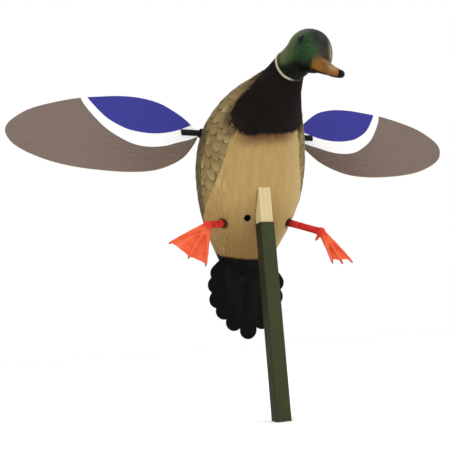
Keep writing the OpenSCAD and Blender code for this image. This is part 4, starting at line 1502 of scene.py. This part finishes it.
def foot_paint():
    paint = Paint("foot_orange", 0.4)
    paint.shader.inputs["Subsurface Weight"].default_value = 0.08
    paint.shader.inputs["Subsurface Scale"].default_value = 0.004
    drift = paint.noise(60.0, 4.0)
    pleat_shading = paint.noise(0.16, 2.0, 0.5, paint.vector(paint.value("spread")))
    paint.colour(paint.layered(paint.between(drift, rgb(243, 108, 68), rgb(235, 92, 56)), [
        # Painted highlights and shade on the web's pleats, in bands round the ankle.
        (pleat_shading, 0.5, 0.7, 0.6, (255, 128, 92)),
        (pleat_shading, 0.48, 0.3, 0.6, (216, 68, 36)),
        (paint.value("from_ankle"), 18.0, 7.0, 0.85, (216, 52, 40)),
        (paint.value("from_tip"), 5.5, 3.0, 0.8, (110, 44, 30)),
    ]))
    paint.roughness(drift, 0.34, 0.48)
    paint.bump(paint.noise(420.0, 4.0), 0.18, 0.0005)
    return paint.material


def leg_paint():
    paint = Paint("leg_red", 0.34)
    drift = paint.noise(110.0, 4.0)
    paint.colour(paint.layered(paint.between(drift, rgb(218, 56, 46), rgb(190, 38, 34)), [
        # Painted shade: the leg darkens toward its root, where it goes into the body.
        (paint.value("reach"), 9.0, -4.0, 0.92, (58, 12, 10)),
        (paint.noise(300.0, 5.0, 0.7), 0.6, 0.75, 0.4, (230, 84, 60)),
    ]))
    paint.roughness(drift, 0.28, 0.42)
    paint.bump(paint.noise(420.0, 4.0), 0.15, 0.0005)
    return paint.material


# ---- wings -------------------------------------------------------------------------------

# The panel's edge from its root round the top, tip and bottom: outward, up.
WING_ROWS = [
    (97, 2), (113, 27), (133, 46), (160, 64), (194, 73), (228, 74), (262, 70), (298, 64),
    (338, 52), (376, 36), (400, 18), (414, 0), (415, -17), (404, -36), (380, -53), (345, -68),
    (308, -77), (268, -82), (228, -84), (190, -81), (160, -71), (132, -54), (112, -31), (99, -10),
]
# Lower edge of the blue patch, and of the white band below it: outward, up.
BLUE_EDGE = [(96, 26), (104, 18), (133, 4), (158, -3), (182, -5), (206, -2), (227, 5), (256, 26),
             (284, 66), (290, 90)]
WHITE_EDGE = [(92, -2), (99, -8), (117, -16), (136, -22), (160, -30), (185, -33), (208, -30), (229, -20),
              (258, 3), (285, 41), (296, 66), (302, 90)]
WING_STEPS = 14
# The line along the panel's middle that its rings shrink to: outward from and to, and up.
SPINE_FROM = 150.0
SPINE_TO = 365.0
SPINE_UP = -4.0
# The rings' sizes, as shares of the outline, and how far in the edge is rounded.
WING_DEPTHS = np.linspace(0.0004, 1, 50)
WING_EDGE = 1.4


def edge_distance(points, curve):
    """Distance of points from a curve across the panel, positive above and inboard of it."""
    line = refine(curve, 10)
    beyond = [(line[-1][0], 300), (-100, 300), (-100, line[0][1])]
    corners = np.concatenate([line, beyond])
    best = np.full(len(points), 1e9)
    for a, d in zip(line[:-1], np.diff(line, axis=0)):
        rel = points - a
        t = np.clip(rel @ d / (d @ d), 0, 1)
        off = rel - t[:, None] * d
        best = np.minimum(best, np.hypot(off[:, 0], off[:, 1]))
    inside = np.zeros(len(points), bool)
    for a, b in zip(corners, np.roll(corners, -1, axis=0)):
        spans = (a[1] > points[:, 1]) != (b[1] > points[:, 1])
        rise = b[1] - a[1] if b[1] != a[1] else 1e-9
        crossing = a[0] + (points[:, 1] - a[1]) * (b[0] - a[0]) / rise
        inside ^= spans & (points[:, 0] < crossing)
    return np.where(inside, best, -best)


def wing_rings(outline):
    """The panel's rings: from the spine out over the front, round the edge and back to the spine."""
    spine = np.column_stack([np.clip(outline[:, 0], SPINE_FROM, SPINE_TO), np.full(len(outline), SPINE_UP)])
    rings = []
    for face, depths in ((1, WING_DEPTHS), (-1, WING_DEPTHS[-2::-1])):
        for depth in depths:
            ring = spine + (outline - spine) * depth
            short = np.clip(1 - np.linalg.norm(outline - ring, axis=1) / WING_EDGE, 0, 1)
            z = WING_T / 2 * np.sqrt(1 - short ** 2)
            rings.append(np.column_stack([ring, z * face]))
    return rings


def make_wing(sign, paint):
    """A printed panel with a rounded edge."""
    outline = refine_closed(WING_ROWS, WING_STEPS)
    rings = wing_rings(outline)
    local = np.concatenate(rings)
    points = placed(WING_FRAME, np.zeros(3), local)
    points[:, 0] *= sign
    faces = grid_faces(len(rings), len(outline)) + flat_ends(len(rings), len(outline))
    if sign < 0:
        faces = [face[::-1] for face in faces]
    wing = make_object(f"printed_wing_{SIDE_NAME[sign]}", points + AXLE, faces)
    flat = local[:, :2]
    set_value(wing, "blue", edge_distance(flat, BLUE_EDGE))
    set_value(wing, "white", edge_distance(flat, WHITE_EDGE))
    set_value(wing, "face", local[:, 2])
    set_value(wing, "out", flat[:, 0])
    set_value(wing, "up", flat[:, 1])
    stand_in(wing, f"wing_{SIDE_NAME[sign]}", "wings", paint)


def wing_print():
    paint = Paint("wing_print", 0.45)
    drift = paint.noise(14.0, 5.0)
    own_place = paint.vector(paint.value("out"), paint.value("up"))
    grain = paint.noise(1.0, 5.0, 0.6, paint.scaled((0.03, 0.35, 1.0), own_place))
    grey = paint.mix(paint.ramp(paint.value("out"), 150.0, 300.0), rgb(108, 91, 81), rgb(122, 106, 97))
    grey = paint.mix(paint.ramp(grain, 0.4, 0.7, 0.0, 0.35), grey, rgb(136, 120, 111))
    blue = paint.mix(drift, rgb(56, 57, 146), rgb(62, 62, 142))
    white = paint.mix(drift, rgb(255, 254, 254), rgb(250, 248, 246))
    front = paint.mix(paint.ramp(paint.value("white"), -0.35, 0.35), grey, white)
    front = paint.mix(paint.ramp(paint.value("blue"), -0.35, 0.35), front, blue)
    pale = paint.mix(paint.ramp(grain, 0.35, 0.7), rgb(236, 233, 226), rgb(218, 214, 206))
    colour = paint.mix(paint.ramp(paint.value("face"), -1.2, -1.3), front, pale)
    rim = paint.ramp(paint.math("ABSOLUTE", paint.value("face")), 1.25, 0.9)
    paint.colour(paint.mix(rim, colour, rgb(150, 122, 84)))
    paint.roughness(grain, 0.38, 0.54)
    paint.bump(grain, 0.15, 0.0004)
    paint.bump(paint.noise(1200.0, 2.0), 0.08, 0.0003)
    return paint.material


# ---- floor ---------------------------------------------------------------------------------

FLOOR_HALF = 9000.0
FLOOR_WHITE = (1.0, 1.0, 1.0, 1.0)
FLOOR_SHADE = (0.985, 0.985, 0.985, 1.0)


def make_floor():
    corners = [(x, y, 0.0) for x, y in box_outline(-FLOOR_HALF, FLOOR_HALF, -FLOOR_HALF, FLOOR_HALF)]
    floor = make_object("floor", corners, [(0, 1, 2, 3)], smooth=False)
    floor.data.materials.append(mottled("pale_floor", FLOOR_WHITE, FLOOR_SHADE, 2.0, 0.95, 0.02).material)


# ---- the scene ------------------------------------------------------------------------------

make_camera()
make_studio()
make_floor()
paint_cad_nodes()

body_coat = body_paint()
moulded = mottled("moulded_olive", rgb(120, 108, 72), rgb(104, 94, 62), 80.0, 0.55, 0.2).material
skin = Skin()
make_body(skin, body_coat, moulded)
make_hatch(skin, body_coat, moulded)
make_head(head_paint())
make_bill(bill_paint())
make_eyes(eye_gloss())
make_ring(ring_paint())
make_tail(tail_paint())
leg_coat = leg_paint()
foot_coat = foot_paint()
wing_coat = wing_print()
for side in (1, -1):
    make_leg(side, leg_coat)
    make_foot(side, foot_coat)
    make_wing(side, wing_coat)
